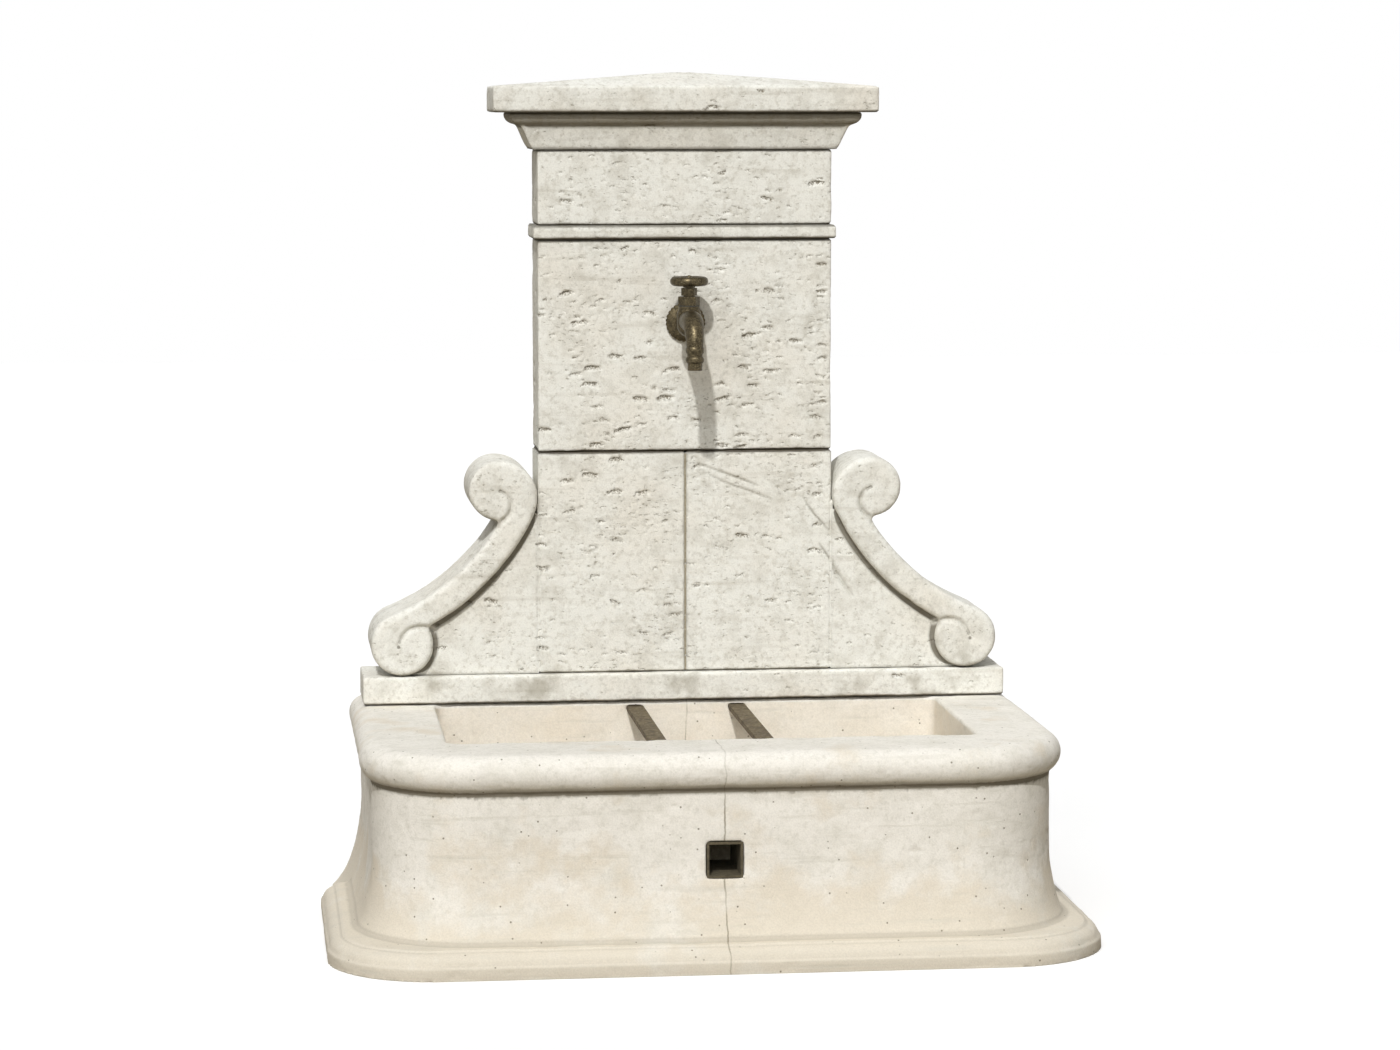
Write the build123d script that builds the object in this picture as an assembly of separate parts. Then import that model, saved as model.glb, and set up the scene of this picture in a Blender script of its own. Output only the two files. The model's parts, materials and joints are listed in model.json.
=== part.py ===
from build123d import *
import os
from math import asin, degrees, sqrt

# Wall fountain of cast stone: a basin in two halves, a column of blocks with two scroll consoles,
# and a brass tap.
# Millimetres, +Z up. The front faces -Y and the back stands in one plane, against a wall, at +Y.
# The origin is on the ground, at the middle of the footprint.

# Basin
basin_width = 1188.0        # across the walls, under the rim
basin_reach = 732.0         # from the wall plane to the front wall's face
basin_height = 368.0
basin_corner = 180.0        # front corners in plan
well_width = 920.0
well_depth = 437.0          # front to back
back_wall = 148.0
floor_thickness = 90.0
well_corner = 18.0
well_cove = 12.0            # rounding between the well's floor and walls
well_lip = 8.0              # rounding of the rim's inner edge
rim_thickness = 68.0
rim_overhang = 20.0
flare_height = 190.0
flare_spread = 80.0
flare_toe = 10.0            # upright edge at the foot of the flare
plinth_spread = 80.0
plinth_band = 22.0
plinth_step = 4.0
plinth_roll = 26.0
plinth_fillet = 4.0
plinth_height = 48.0
plinth_corner = 110.0       # corners of the plinth, at the wall's face: tighter than the wall's own
plinth_stop = 170.0         # the plinth ends this far from the wall plane
moulding_root = 20.0        # depth to which each moulding is one with the wall behind it

# Column and ledge
column_width = 540.0
column_depth = 140.0
ledge_width = 1186.0
ledge_height = 52.0
ledge_overhang = 16.0       # in front of the column, and a little over the well
lower_block_height = 406.0
tap_block_height = 387.0
string_height = 25.0
string_overhang = 8.0
frieze_height = 137.0
cornice_height = 67.0
cornice_base = 8.0          # overhangs of the side mouldings: base, foot, top of the slope, and top
cornice_foot = 12.0
cornice_slope = 30.0
cornice_overhang = 52.0
cornice_foot_height = 5.0
cornice_slope_height = 44.0
cornice_upper_fillet = 4.0
cornice_front_share = 0.45  # the front moulding overhangs this share of the sides
cap_height = 48.0
cap_rise = 26.0
cap_side_overhang = 82.0
cap_front_overhang = 38.0
cap_top = (24.0, 8.0)       # small flat on the point of the cap
arris = 3.0                 # worn edges of the blocks

# Consoles
console_gap = 0.5
scroll_proud = 20.0         # the scroll stands in front of its wing panel
scroll_round = 12.0
notch_round = 5.0
upper_volute_radius = 56.0
upper_volute_height = 338.0
shoulder_radius = 72.0      # wider turn of the band beside the column, above which the volute curls in
lower_volute_radius = 58.0
lower_volute_reach = 250.0
inner_sweep_radius = 460.0
outer_sweep_radius = 420.0
inner_sweep_meets = 148.0   # angle on the lower volute where the inner sweep runs in
outer_sweep_meets = 269.0   # angle on the upper volute where the outer sweep runs in
wing_top = 295.0
wing_lap = 12.0             # the wing runs this far in behind the scroll
upper_curl = ((-0.34, -0.28), (0.06, 0.02))     # middle and end of the groove, in volute radii from the eye
lower_curl = ((-0.12, 0.42), (0.12, -0.05))
groove_width = 5.0
groove_depth = 5.0

# Metal set in the stone
bar_width = 30.0
bar_thickness = 10.0
bar_spacing = 188.0
bar_cover = 10.0            # stone above a bar's end
bar_bedding = 30.0
overflow_size = 62.0
overflow_wall = 4.0
overflow_height = 181.0
grate_thickness = 4.0
grate_hole_radius = 3.5
grate_pitch = 13.0
grate_holes = (3, 2)        # across and up
grate_lift = 14.0           # the holes are in the upper half, at the water's level
dowel_radius = 7.0
dowel_depth = 35.0
dowel_spacing = 300.0
ledge_dowel_inset = 60.0
basin_pin_radius = 6.0
basin_pin_depth = 45.0
basin_pin_spacing = 240.0
basin_pin_cover = 22.0
bedding_gap = 0.3
seal_size = 12.0
seal_cover = 30.0

# Tap
tap_height = 236.0          # inlet axis above the foot of the tap block
tap_offset = 60.0           # spindle axis in front of the column's face
inlet_radius = 14.0
thread_radius = 10.4        # half-inch pipe thread
thread_gap = 0.05
water_radius = 7.0
chamber_radius = 22.0
chamber_drop = 24.0
collar_radius = 19.0
collar_height = 32.0
valve_bore_radius = 14.5
seat_height = 10.0
spout_reach = 90.0          # from the spindle axis to the spout's axis
spout_bend = 42.0
spout_rise = 6.0
spout_root_radius = 20.0
spout_end_radius = 15.0
spout_sections = 6
bead_radius = 16.5
bead_height = 12.0
nozzle_neck = 5.0
nozzle_neck_radius = 14.0
nozzle_ring = 12.5
nozzle_end = 12.5
nozzle_end_radius = 13.2
nozzle_screw = 10.0
rosette_radius = 36.0
rosette_rim = 4.0
rosette_crown = 1.5
rosette_boss = 12.0
rosette_boss_radius = 20.0
scallop_count = 28
scallop_radius = 3.0
scallop_depth = 1.2
washer_thickness = 1.5
bonnet_flats = 34.0
bonnet_hex_height = 16.0
bonnet_shank = 6.0
bonnet_neck_radius = 10.4
bonnet_neck_height = 12.5
stem_radius = 5.0
stem_thread_radius = 7.0
stem_thread_length = 17.5
thread_bore_length = 18.0
gland_radius = 8.0
gland_depth = 10.0
packing_height = 8.0
gland_flats = 25.0
gland_gap = 2.0
gland_top = 3.0
running_gap = 0.05
valve_lift = 6.75
jumper_radius = 11.0
jumper_thickness = 5.0
jumper_stem_radius = 3.0
jumper_stem_length = 10.0
jumper_boss_radius = 2.0
jumper_washer_radius = 10.5
jumper_washer_thickness = 3.5
wheel_radius = 34.5
wheel_rim = 8.5
wheel_rise = 11.0           # rim's middle above the hub's foot
wheel_hub_radius = 11.0
wheel_hub_height = 18.0
wheel_web = 5.0
wheel_ribs = 5
wheel_rib_radius = 3.5
wheel_cap = 2.0
wheel_lift = 1.0            # hub above the gland nut
square_side = 8.0
screw_radius = 2.0
screw_length = 11.0
screw_head_radius = 5.0
screw_head_height = 4.0

# Water supply through the tap block, and drain in the floor of the right half
supply_bore_radius = 12.0
supply_pocket_radius = 30.0
supply_pocket_depth = 40.0
supply_washer_radius = 22.0
supply_washer_thickness = 3.0
supply_nut_flats = 32.0
supply_nut_height = 12.0
supply_end = 4.0            # the tail ends this far inside the wall plane
supply_spigot_radius = 9.0  # plain end for an 18 mm pipe union
tail_screw = 25.0
drain_x = 230.0
drain_flange_radius = 42.0
drain_flange = 4.0
drain_gasket = 2.0
drain_tail_radius = 24.0
drain_spigot_radius = 20.0  # plain end for a 40 mm waste pipe
drain_bore_radius = 17.0
drain_hole_radius = 4.0
drain_hole_circle = 12.0
drain_hole_count = 6
drain_gap = 2.0
drain_pocket_radius = 50.0
drain_pocket_depth = 46.0
drain_nut_flats = 64.0
drain_nut_height = 12.0
drain_end = 6.0

# Places that follow from the sizes above
wall_y = (basin_reach + max(plinth_spread, flare_spread)) / 2
face_y = wall_y - column_depth
basin_front_y = wall_y - basin_reach
well_back_y = wall_y - back_wall
well_front_y = well_back_y - well_depth
well_middle_y = (well_back_y + well_front_y) / 2
dowel_y = wall_y - column_depth / 2
half_column = column_width / 2
ledge_z = basin_height + ledge_height
lower_top_z = ledge_z + lower_block_height
tap_block_top_z = lower_top_z + tap_block_height
string_top_z = tap_block_top_z + string_height
frieze_top_z = string_top_z + frieze_height
cornice_top_z = frieze_top_z + cornice_height
cap_edge_z = cornice_top_z + cap_height

parts = {}


def box_between(x, y, z):
    """A box from three (low, high) pairs."""
    centre = Pos((x[0] + x[1]) / 2, (y[0] + y[1]) / 2, (z[0] + z[1]) / 2)
    return centre * Box(x[1] - x[0], y[1] - y[0], z[1] - z[0])


def upright(x, y, z, radius):
    """A cylinder along Z from a (low, high) pair."""
    return Pos(x, y, (z[0] + z[1]) / 2) * Cylinder(radius, z[1] - z[0])


def along_y(x, y, z, radius):
    """A cylinder along Y from a (low, high) pair."""
    return Pos(x, (y[0] + y[1]) / 2, z) * Rot(90, 0, 0) * Cylinder(radius, y[1] - y[0])


def hexagon(flats, height):
    """A hexagonal prism that stands on the XY plane."""
    return extrude(RegularPolygon(flats / 2, 6, major_radius=False), height)


def turned(*edges):
    """A solid of revolution about Z from the edges of its half section."""
    return revolve(Plane.XZ * make_face(edges), Axis.Z)


def block(x, y, z):
    """A stone block with worn arrises."""
    stone = box_between(x, y, z)
    return fillet(stone.edges(), arris)


# Dowels between the courses and pins across the basin joint

def dowel_places():
    """Each dowel as x and its (low, high) ends."""
    ledge_x = ledge_width / 2 - ledge_dowel_inset
    course_x = dowel_spacing / 2
    joints = [
        (ledge_x, basin_height, basin_height),
        (course_x, ledge_z, ledge_z),
        (course_x, lower_top_z, lower_top_z),
        (course_x, tap_block_top_z, string_top_z),
        (course_x, frieze_top_z, frieze_top_z),
        (course_x, cornice_top_z, cornice_top_z),
    ]
    return [
        (side * x, (low - dowel_depth, high + dowel_depth))
        for x, low, high in joints
        for side in (-1, 1)
    ]


def pin_places():
    """Each pin across the basin joint as y and z."""
    low_pins = [(well_middle_y + side * basin_pin_spacing / 2, basin_pin_cover) for side in (-1, 1)]
    return low_pins + [(wall_y - back_wall / 4, basin_height / 2)]


def joint_pin(y, z, radius):
    """A pin along X that crosses the joint plane."""
    return Pos(0, y, z) * Rot(0, 90, 0) * Cylinder(radius, 2 * basin_pin_depth)


dowel_holes = [upright(x, dowel_y, z, dowel_radius + bedding_gap) for x, z in dowel_places()]
parts["course_dowels"] = Compound([upright(x, dowel_y, z, dowel_radius) for x, z in dowel_places()])
parts["basin_pins"] = Compound([joint_pin(y, z, basin_pin_radius) for y, z in pin_places()])


# Basin

def plan_line(offset, back_y, corner=basin_corner):
    """The basin's outer line in plan, from the back left, round the front, to the back right."""
    half = basin_width / 2 + offset
    front = basin_front_y - offset
    corners = [(-half, back_y), (-half, front), (half, front), (half, back_y)]
    return FilletPolyline(*corners, radius=corner + offset)


def plan_face(offset):
    """The area inside the basin's outer line."""
    line = plan_line(offset, wall_y)
    return make_face([line, Line(line @ 1, line @ 0)])


def moulding(section, back_y, corner=basin_corner):
    """A section of (distance out from the wall's face, height), run round the basin."""
    start = Plane(origin=(-basin_width / 2, back_y, 0), x_dir=(-1, 0, 0), z_dir=(0, 1, 0))
    return sweep(start * section, path=plan_line(0, back_y, corner))


def flare_section():
    """The concave flare at the foot of the wall, part of an ellipse."""
    turn = degrees(asin((flare_height - flare_toe) / flare_height))
    curve = EllipticalCenterArc(
        (flare_spread, flare_height), flare_spread, flare_height, start_angle=180, arc_size=turn
    )
    foot = curve @ 1
    root_line = [(-moulding_root, 0), (-moulding_root, flare_height), (0, flare_height)]
    back = Polyline(foot, (foot.X, 0), *root_line)
    return make_face([curve, back])


def plinth_section():
    """A plain band, a small step, a quarter-round roll and a fillet."""
    roll_out = plinth_spread - plinth_step
    roll_in = roll_out - plinth_roll
    roll_top = plinth_height - plinth_fillet
    roll = EllipticalCenterArc(
        (roll_in, plinth_band), plinth_roll, roll_top - plinth_band, start_angle=0, arc_size=90
    )
    band = Polyline(
        (roll_in, roll_top), (roll_in, plinth_height), (-moulding_root, plinth_height),
        (-moulding_root, 0), (plinth_spread, 0), (plinth_spread, plinth_band), (roll_out, plinth_band),
    )
    return make_face([roll, band])


def rim_section():
    """The half-round nose of the rim."""
    radius = rim_thickness / 2
    centre = rim_overhang - radius
    low = basin_height - rim_thickness
    nose = ThreePointArc((centre, low), (rim_overhang, low + radius), (centre, basin_height))
    root = centre - moulding_root
    back = Polyline((centre, basin_height), (root, basin_height), (root, low), (centre, low))
    return make_face([nose, back])


def basin_shell():
    """Walls, floor, mouldings and well of the whole basin, before it is parted."""
    rim_low = basin_height - rim_thickness
    walls = extrude(plan_face(0), rim_low)
    rim = Pos(0, 0, rim_low) * extrude(plan_face(rim_overhang - rim_thickness / 2), rim_thickness)
    shell = walls + rim + moulding(rim_section(), wall_y) + moulding(flare_section(), wall_y)
    shell += moulding(plinth_section(), wall_y - plinth_stop, plinth_corner)
    well = extrude(RectangleRounded(well_width, well_depth, well_corner), basin_height - floor_thickness)
    well = fillet(well.edges().group_by(Axis.Z)[0], well_cove)
    shell -= Pos(0, well_middle_y, floor_thickness) * well
    top_edges = shell.edges().group_by(Axis.Z)[-1]
    well_edges = top_edges.filter_by_position(Axis.Y, well_front_y - well_lip, well_back_y + well_lip)
    well_edges = well_edges.filter_by(lambda edge: abs(edge.center().X) < well_width / 2 + well_lip)
    return fillet(well_edges, well_lip)


def seal_strip():
    """The seal in the joint: up the back, along the floor and up the front, parted by the overflow."""
    half = seal_size / 2
    across = (-half, half)
    front = (basin_front_y + well_front_y) / 2
    back = wall_y - back_wall / 2
    floor = floor_thickness / 2
    top = basin_height - seal_cover
    sleeve_low = overflow_height - overflow_size / 2
    sleeve_high = overflow_height + overflow_size / 2
    strip = box_between(across, (front - half, back + half), (floor - half, floor + half))
    strip += box_between(across, (back - half, back + half), (floor, top))
    strip += box_between(across, (front - half, front + half), (floor, sleeve_low))
    upper = box_between(across, (front - half, front + half), (sleeve_high, top))
    return [strip, upper]


def bar(side):
    """A flat bar across the well, let into the front and back walls."""
    middle = side * bar_spacing / 2
    top = basin_height - bar_cover
    across = (middle - bar_width / 2, middle + bar_width / 2)
    along = (well_front_y - bar_bedding, well_back_y + bar_bedding)
    return box_between(across, along, (top - bar_thickness, top))


def square_prism(side, y):
    """A square prism along Y at the overflow's height."""
    height = (overflow_height - side / 2, overflow_height + side / 2)
    return box_between((-side / 2, side / 2), y, height)


seals = seal_strip()
parts["joint_seal"] = Compound(seals)
parts["bucket_bar_left"] = bar(-1)
parts["bucket_bar_right"] = bar(1)

overflow_run = (basin_front_y, well_front_y)
overflow_hole = (basin_front_y - flare_spread, well_front_y + well_corner)
overflow_bore = overflow_size - 2 * overflow_wall
sleeve_bar = square_prism(overflow_size, overflow_run)
parts["overflow_sleeve"] = sleeve_bar - square_prism(overflow_bore, overflow_run)
grate = square_prism(overflow_bore, (well_front_y - grate_thickness, well_front_y))
grate_places = Pos(0, well_front_y, overflow_height + grate_lift) * Rot(90, 0, 0)
for place in GridLocations(grate_pitch, grate_pitch, *grate_holes):
    grate -= grate_places * place * Cylinder(grate_hole_radius, 4 * grate_thickness)
parts["overflow_grate"] = grate

basin_cuts = [bar(-1), bar(1), square_prism(overflow_size, overflow_hole)] + seals + dowel_holes
basin_cuts += [joint_pin(y, z, basin_pin_radius + bedding_gap) for y, z in pin_places()]
basin = basin_shell() - basin_cuts

drain_floor = floor_thickness - drain_flange - drain_gasket
drain_cuts = [
    upright(drain_x, well_middle_y, (drain_floor, basin_height), drain_flange_radius + drain_gap),
    upright(drain_x, well_middle_y, (0, floor_thickness), drain_tail_radius + drain_gap),
    upright(drain_x, well_middle_y, (0, drain_pocket_depth), drain_pocket_radius),
]
parts["basin_left"] = split(basin, bisect_by=Plane.YZ, keep=Keep.BOTTOM)
parts["basin_right"] = split(basin, bisect_by=Plane.YZ, keep=Keep.TOP) - drain_cuts


# Ledge, blocks, string course, cornice and cap

depth = (face_y, wall_y)
shaft = (-half_column, half_column)
ledge_span = (-ledge_width / 2, ledge_width / 2)
ledge_y = (face_y - ledge_overhang, wall_y)
parts["ledge"] = block(ledge_span, ledge_y, (basin_height, ledge_z)) - dowel_holes
parts["lower_block_left"] = block((-half_column, 0), depth, (ledge_z, lower_top_z)) - dowel_holes
parts["lower_block_right"] = block((0, half_column), depth, (ledge_z, lower_top_z)) - dowel_holes

tap_z = lower_top_z + tap_height
tap_block = block(shaft, depth, (lower_top_z, tap_block_top_z)) - dowel_holes
pocket_floor_y = wall_y - supply_pocket_depth
tap_block -= along_y(0, depth, tap_z, supply_bore_radius)
tap_block -= along_y(0, (pocket_floor_y, wall_y), tap_z, supply_pocket_radius)
parts["tap_block"] = tap_block

string_x = (-half_column - string_overhang, half_column + string_overhang)
string_y = (face_y - string_overhang, wall_y)
parts["string_course"] = block(string_x, string_y, (tap_block_top_z, string_top_z)) - dowel_holes
parts["frieze_block"] = block(shaft, depth, (string_top_z, frieze_top_z)) - dowel_holes


def cornice_line(out, foot_z):
    """Half of the cornice's section, as edges, with out(overhang) giving the line's first coordinate."""
    slope_z = foot_z + cornice_slope_height
    high = foot_z + cornice_height - cornice_upper_fillet
    bulge = (cornice_overhang - cornice_slope) * sqrt(0.5)
    belly = (cornice_slope + bulge, high - (high - slope_z) * sqrt(0.5))
    foot = (out(cornice_foot), foot_z + cornice_foot_height)
    knee = (out(cornice_slope), slope_z)
    brow = (out(cornice_overhang), high)
    return [
        Polyline((out(cornice_base), foot_z), foot, knee),
        ThreePointArc(knee, (out(belly[0]), belly[1]), brow),
        Line(brow, (out(cornice_overhang), cornice_top_z)),
    ]


def cornice_solid():
    """The front moulding and the two side mouldings meet at mitred corners."""
    front_edges = cornice_line(lambda out: face_y - cornice_front_share * out, frieze_top_z)
    wall_ends = [(wall_y, cornice_top_z), (wall_y, frieze_top_z)]
    front_back = Polyline(front_edges[-1] @ 1, *wall_ends, front_edges[0] @ 0)
    front = extrude(Plane.YZ * make_face([*front_edges, front_back]), column_width, both=True)
    right = cornice_line(lambda out: half_column + out, frieze_top_z)
    left = cornice_line(lambda out: -half_column - out, frieze_top_z)
    top = Line(right[-1] @ 1, left[-1] @ 1)
    foot = Line(right[0] @ 0, left[0] @ 0)
    sides = extrude(Plane.XZ * make_face([*right, *left, top, foot]), 2 * wall_y, both=True)
    return front & sides


def cap_solid():
    """A plate with worn lower edges, under a low pyramid."""
    across = column_width + 2 * cap_side_overhang
    deep = column_depth + cap_front_overhang
    middle_y = wall_y - deep / 2
    plate = box_between(
        (-across / 2, across / 2), (wall_y - deep, wall_y), (cornice_top_z, cap_edge_z)
    )
    plate = fillet(plate.edges().group_by(Axis.Z)[0] + plate.edges().filter_by(Axis.Z), arris)
    base = Pos(0, middle_y, cap_edge_z) * RectangleRounded(across, deep, arris)
    point = Pos(0, middle_y, cap_edge_z + cap_rise) * RectangleRounded(*cap_top, arris)
    return plate + loft([base, point])


parts["cornice"] = cornice_solid() - dowel_holes
parts["cap"] = cap_solid() - dowel_holes


# Consoles: a scroll of five arcs, on a wing panel that fills the corner between column and ledge

def on_circle(centre, radius, angle):
    """The point of a circle at an angle in degrees."""
    return Vector(*centre) + Vector(radius, 0).rotate(Axis.Z, angle)


def circles_meet(first, first_radius, second, second_radius):
    """Where two circles meet, to the left of the way from the first centre to the second."""
    gap = second - first
    along = (gap.length ** 2 + first_radius ** 2 - second_radius ** 2) / (2 * gap.length)
    aside = sqrt(first_radius ** 2 - along ** 2)
    way = gap.normalized()
    return first + way * along + Vector(-way.Y, way.X) * aside


def arc_round(centre, start, end, long_way):
    """The arc about a centre from start to end, by the short way or the long way."""
    radius = (start - centre).length
    middle = ((start - centre) + (end - centre)).normalized() * radius
    return ThreePointArc(start, centre - middle if long_way else centre + middle, end)


upper_eye = Vector(half_column + console_gap + shoulder_radius, ledge_z + upper_volute_height)
crown = upper_eye + Vector(0, upper_volute_radius)
shoulder_centre = crown - Vector(0, shoulder_radius)
lower_eye = Vector(half_column + lower_volute_reach, ledge_z + lower_volute_radius)
inner_end = on_circle(lower_eye, lower_volute_radius, inner_sweep_meets)
outer_end = on_circle(upper_eye, upper_volute_radius, outer_sweep_meets)
inner_centre = circles_meet(
    shoulder_centre, inner_sweep_radius - shoulder_radius, inner_end, inner_sweep_radius
)
outer_centre = circles_meet(
    outer_end, outer_sweep_radius, lower_eye, outer_sweep_radius + lower_volute_radius
)
inner_start = shoulder_centre + (shoulder_centre - inner_centre).normalized() * shoulder_radius
outer_start = lower_eye + (outer_centre - lower_eye).normalized() * lower_volute_radius


def scroll_outline():
    """Inner sweep, lower volute, outer sweep, upper volute and shoulder, with two rounded notches."""
    outline = make_face([
        arc_round(inner_centre, inner_start, inner_end, False),
        arc_round(lower_eye, inner_end, outer_start, True),
        arc_round(outer_centre, outer_start, outer_end, False),
        ThreePointArc(outer_end, upper_eye + Vector(upper_volute_radius, 0), crown),
        arc_round(shoulder_centre, crown, inner_start, False),
    ])
    corners = outline.vertices()
    notches = [corners.sort_by_distance(end)[0] for end in (inner_end, outer_end)]
    return fillet(notches, notch_round)


def spiral_grooves():
    """The line that curls into each volute, from the notch where its sweep runs in."""
    upper_points = [upper_eye + Vector(*point) * upper_volute_radius for point in upper_curl]
    lower_points = [lower_eye + Vector(*point) * lower_volute_radius for point in lower_curl]
    upper = ThreePointArc(outer_end, *upper_points)
    lower = ThreePointArc(inner_end, *lower_points)
    return [SlotArc(upper, groove_width), SlotArc(lower, groove_width)]


def console_solid():
    """The right console. The scroll runs the full depth of the column and stands proud of the wing."""
    at_wall = Plane(origin=(0, wall_y, 0), x_dir=(1, 0, 0), z_dir=(0, -1, 0))
    scroll_depth = column_depth + scroll_proud
    scroll = extrude(at_wall * scroll_outline(), scroll_depth)
    corner = Pos((half_column + lower_eye.X) / 2, ledge_z + wing_top / 2)
    wing_face = corner * Rectangle(lower_eye.X - half_column, wing_top)
    wing_face -= Pos(inner_centre.X, inner_centre.Y) * Circle(inner_sweep_radius - wing_lap)
    console = scroll + extrude(at_wall * wing_face, column_depth)
    console = fillet(console.faces().sort_by(Axis.Y)[0].edges(), scroll_round)
    groove_plane = at_wall.offset(scroll_depth - groove_depth)
    grooves = [extrude(groove_plane * groove, 2 * groove_depth) for groove in spiral_grooves()]
    return console - grooves


parts["console_right"] = console_solid()
parts["console_left"] = mirror(parts["console_right"], about=Plane.YZ)


# Tap: wall rosette, body with a bent spout, nozzle, bonnet, gland, spindle, wheel and valve

# The tap is drawn about the point where its spindle and inlet axes cross, then set on the block.

on_block = Pos(0, face_y - tap_offset, tap_z)
spout_y = -spout_reach
bend_z = spout_rise - spout_bend
spout_end_z = bend_z - bead_height


def rosette():
    """A domed plate with a scalloped edge, round the inlet."""
    dome = ThreePointArc(
        (rosette_radius, rosette_rim),
        ((rosette_radius + rosette_boss_radius) / 2, (rosette_rim + rosette_boss) / 2 + rosette_crown),
        (rosette_boss_radius, rosette_boss),
    )
    hole = inlet_radius + bedding_gap
    sides = Polyline(dome @ 1, (hole, rosette_boss), (hole, 0), (rosette_radius, 0), dome @ 0)
    plate = turned(dome, sides)
    for place in PolarLocations(rosette_radius + scallop_radius - scallop_depth, scallop_count):
        plate -= place * Cylinder(scallop_radius, 4 * rosette_boss)
    on_face = Plane(origin=(0, tap_offset, 0), x_dir=(1, 0, 0), z_dir=(0, -1, 0))
    return on_face * plate


def spout_bend_solid():
    """A tapering quarter bend from the chamber's front down to the spout's end."""
    centre_y = spout_y + spout_bend
    sections = []
    for index in range(spout_sections + 1):
        share = index / spout_sections
        turn = 90 * share
        radius = spout_root_radius + (spout_end_radius - spout_root_radius) * share
        arm = Vector(0, 0, spout_bend).rotate(Axis.X, turn)
        way = Vector(0, -1, 0).rotate(Axis.X, turn)
        centre = Vector(0, centre_y, bend_z) + arm
        sections.append(Plane(origin=centre, x_dir=(1, 0, 0), z_dir=way) * Circle(radius))
    return loft(sections)


def tap_body():
    """Chamber, inlet, bent spout and its bead, with the waterway through them."""
    low = -chamber_drop
    dome = ThreePointArc(
        (0, low), (chamber_radius * sqrt(0.5), low + chamber_radius * (1 - sqrt(0.5))),
        (chamber_radius, low + chamber_radius),
    )
    collar_foot = collar_height - bonnet_shank
    shoulder = collar_foot - 2 * (chamber_radius - collar_radius)
    profile = Polyline(
        dome @ 1, (chamber_radius, shoulder), (collar_radius, collar_foot),
        (collar_radius, collar_height), (0, collar_height), (0, low),
    )
    body = turned(dome, profile)
    body += along_y(0, (0, tap_offset), 0, inlet_radius)
    body += along_y(0, (spout_y + spout_bend, 0), spout_rise, spout_root_radius)
    body += spout_bend_solid()
    bead = ThreePointArc(
        (spout_end_radius, spout_end_z),
        (bead_radius, spout_end_z + bead_height / 2),
        (spout_end_radius, bend_z),
    )
    rest = Polyline(bead @ 1, (0, bend_z), (0, spout_end_z), bead @ 0)
    body += Pos(0, spout_y, 0) * turned(bead, rest)
    outlet_z = seat_height + water_radius
    way = FilletPolyline(
        (0, -water_radius, outlet_z), (0, spout_y, outlet_z), (0, spout_y, spout_end_z),
        radius=spout_bend + water_radius,
    )
    start = Plane(origin=way @ 0, x_dir=(1, 0, 0), z_dir=(0, -1, 0))
    body -= sweep(start * Circle(water_radius), path=way)
    body -= upright(0, spout_y, (spout_end_z, spout_end_z + nozzle_screw), thread_radius + thread_gap)
    body -= along_y(0, (0, tap_offset), 0, water_radius)
    body -= along_y(0, (tap_offset - tail_screw, tap_offset), 0, thread_radius + thread_gap)
    body -= upright(0, 0, (0, seat_height), water_radius)
    return body - upright(0, 0, (seat_height, collar_height), valve_bore_radius)


def nozzle():
    """A screwed outlet with a neck, a bead and a plain end for a hose."""
    neck_z = spout_end_z - nozzle_neck
    ring_z = neck_z - nozzle_ring
    end_z = ring_z - nozzle_end
    bead = ThreePointArc(
        (nozzle_neck_radius, ring_z), (bead_radius, ring_z + nozzle_ring / 2), (nozzle_neck_radius, neck_z)
    )
    outside = Polyline(
        bead @ 1, (nozzle_neck_radius, spout_end_z), (thread_radius, spout_end_z),
        (thread_radius, spout_end_z + nozzle_screw), (water_radius, spout_end_z + nozzle_screw),
        (water_radius, end_z), (nozzle_end_radius, end_z), (nozzle_end_radius, ring_z), bead @ 0,
    )
    return Pos(0, spout_y, 0) * turned(bead, outside)


parts["tap_rosette"] = on_block * rosette()
parts["tap_body"] = on_block * tap_body()
parts["spout_nozzle"] = on_block * nozzle()

# Bonnet, its washer, the gland nut and the packing round the stem
hex_z = collar_height + washer_thickness
hex_top_z = hex_z + bonnet_hex_height
neck_top_z = hex_top_z + bonnet_neck_height
shank_z = collar_height - bonnet_shank
thread_top_z = shank_z + thread_bore_length
gland_z = neck_top_z - gland_depth
packing_top_z = gland_z + packing_height
gland_nut_z = hex_top_z + gland_gap
gland_nut_top_z = neck_top_z + gland_top

bonnet = Pos(0, 0, hex_z) * hexagon(bonnet_flats, bonnet_hex_height)
bonnet += upright(0, 0, (shank_z, hex_z), valve_bore_radius - thread_gap)
bonnet += upright(0, 0, (hex_top_z, neck_top_z), bonnet_neck_radius)
bonnet -= upright(0, 0, (shank_z, thread_top_z), stem_thread_radius + running_gap)
bonnet -= upright(0, 0, (shank_z, neck_top_z), stem_radius + running_gap)
bonnet -= upright(0, 0, (gland_z, neck_top_z), gland_radius)
parts["tap_bonnet"] = on_block * bonnet

washer = upright(0, 0, (collar_height, hex_z), collar_radius)
parts["bonnet_washer"] = on_block * (washer - upright(0, 0, (collar_height, hex_z), valve_bore_radius))

gland_nut = Pos(0, 0, gland_nut_z) * hexagon(gland_flats, gland_nut_top_z - gland_nut_z)
gland_nut -= upright(0, 0, (gland_nut_z, neck_top_z), bonnet_neck_radius + thread_gap)
gland_nut += upright(0, 0, (packing_top_z, gland_nut_top_z), gland_radius - thread_gap)
gland_nut -= upright(0, 0, (packing_top_z, gland_nut_top_z), stem_radius + bedding_gap)
parts["gland_nut"] = on_block * gland_nut

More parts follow.
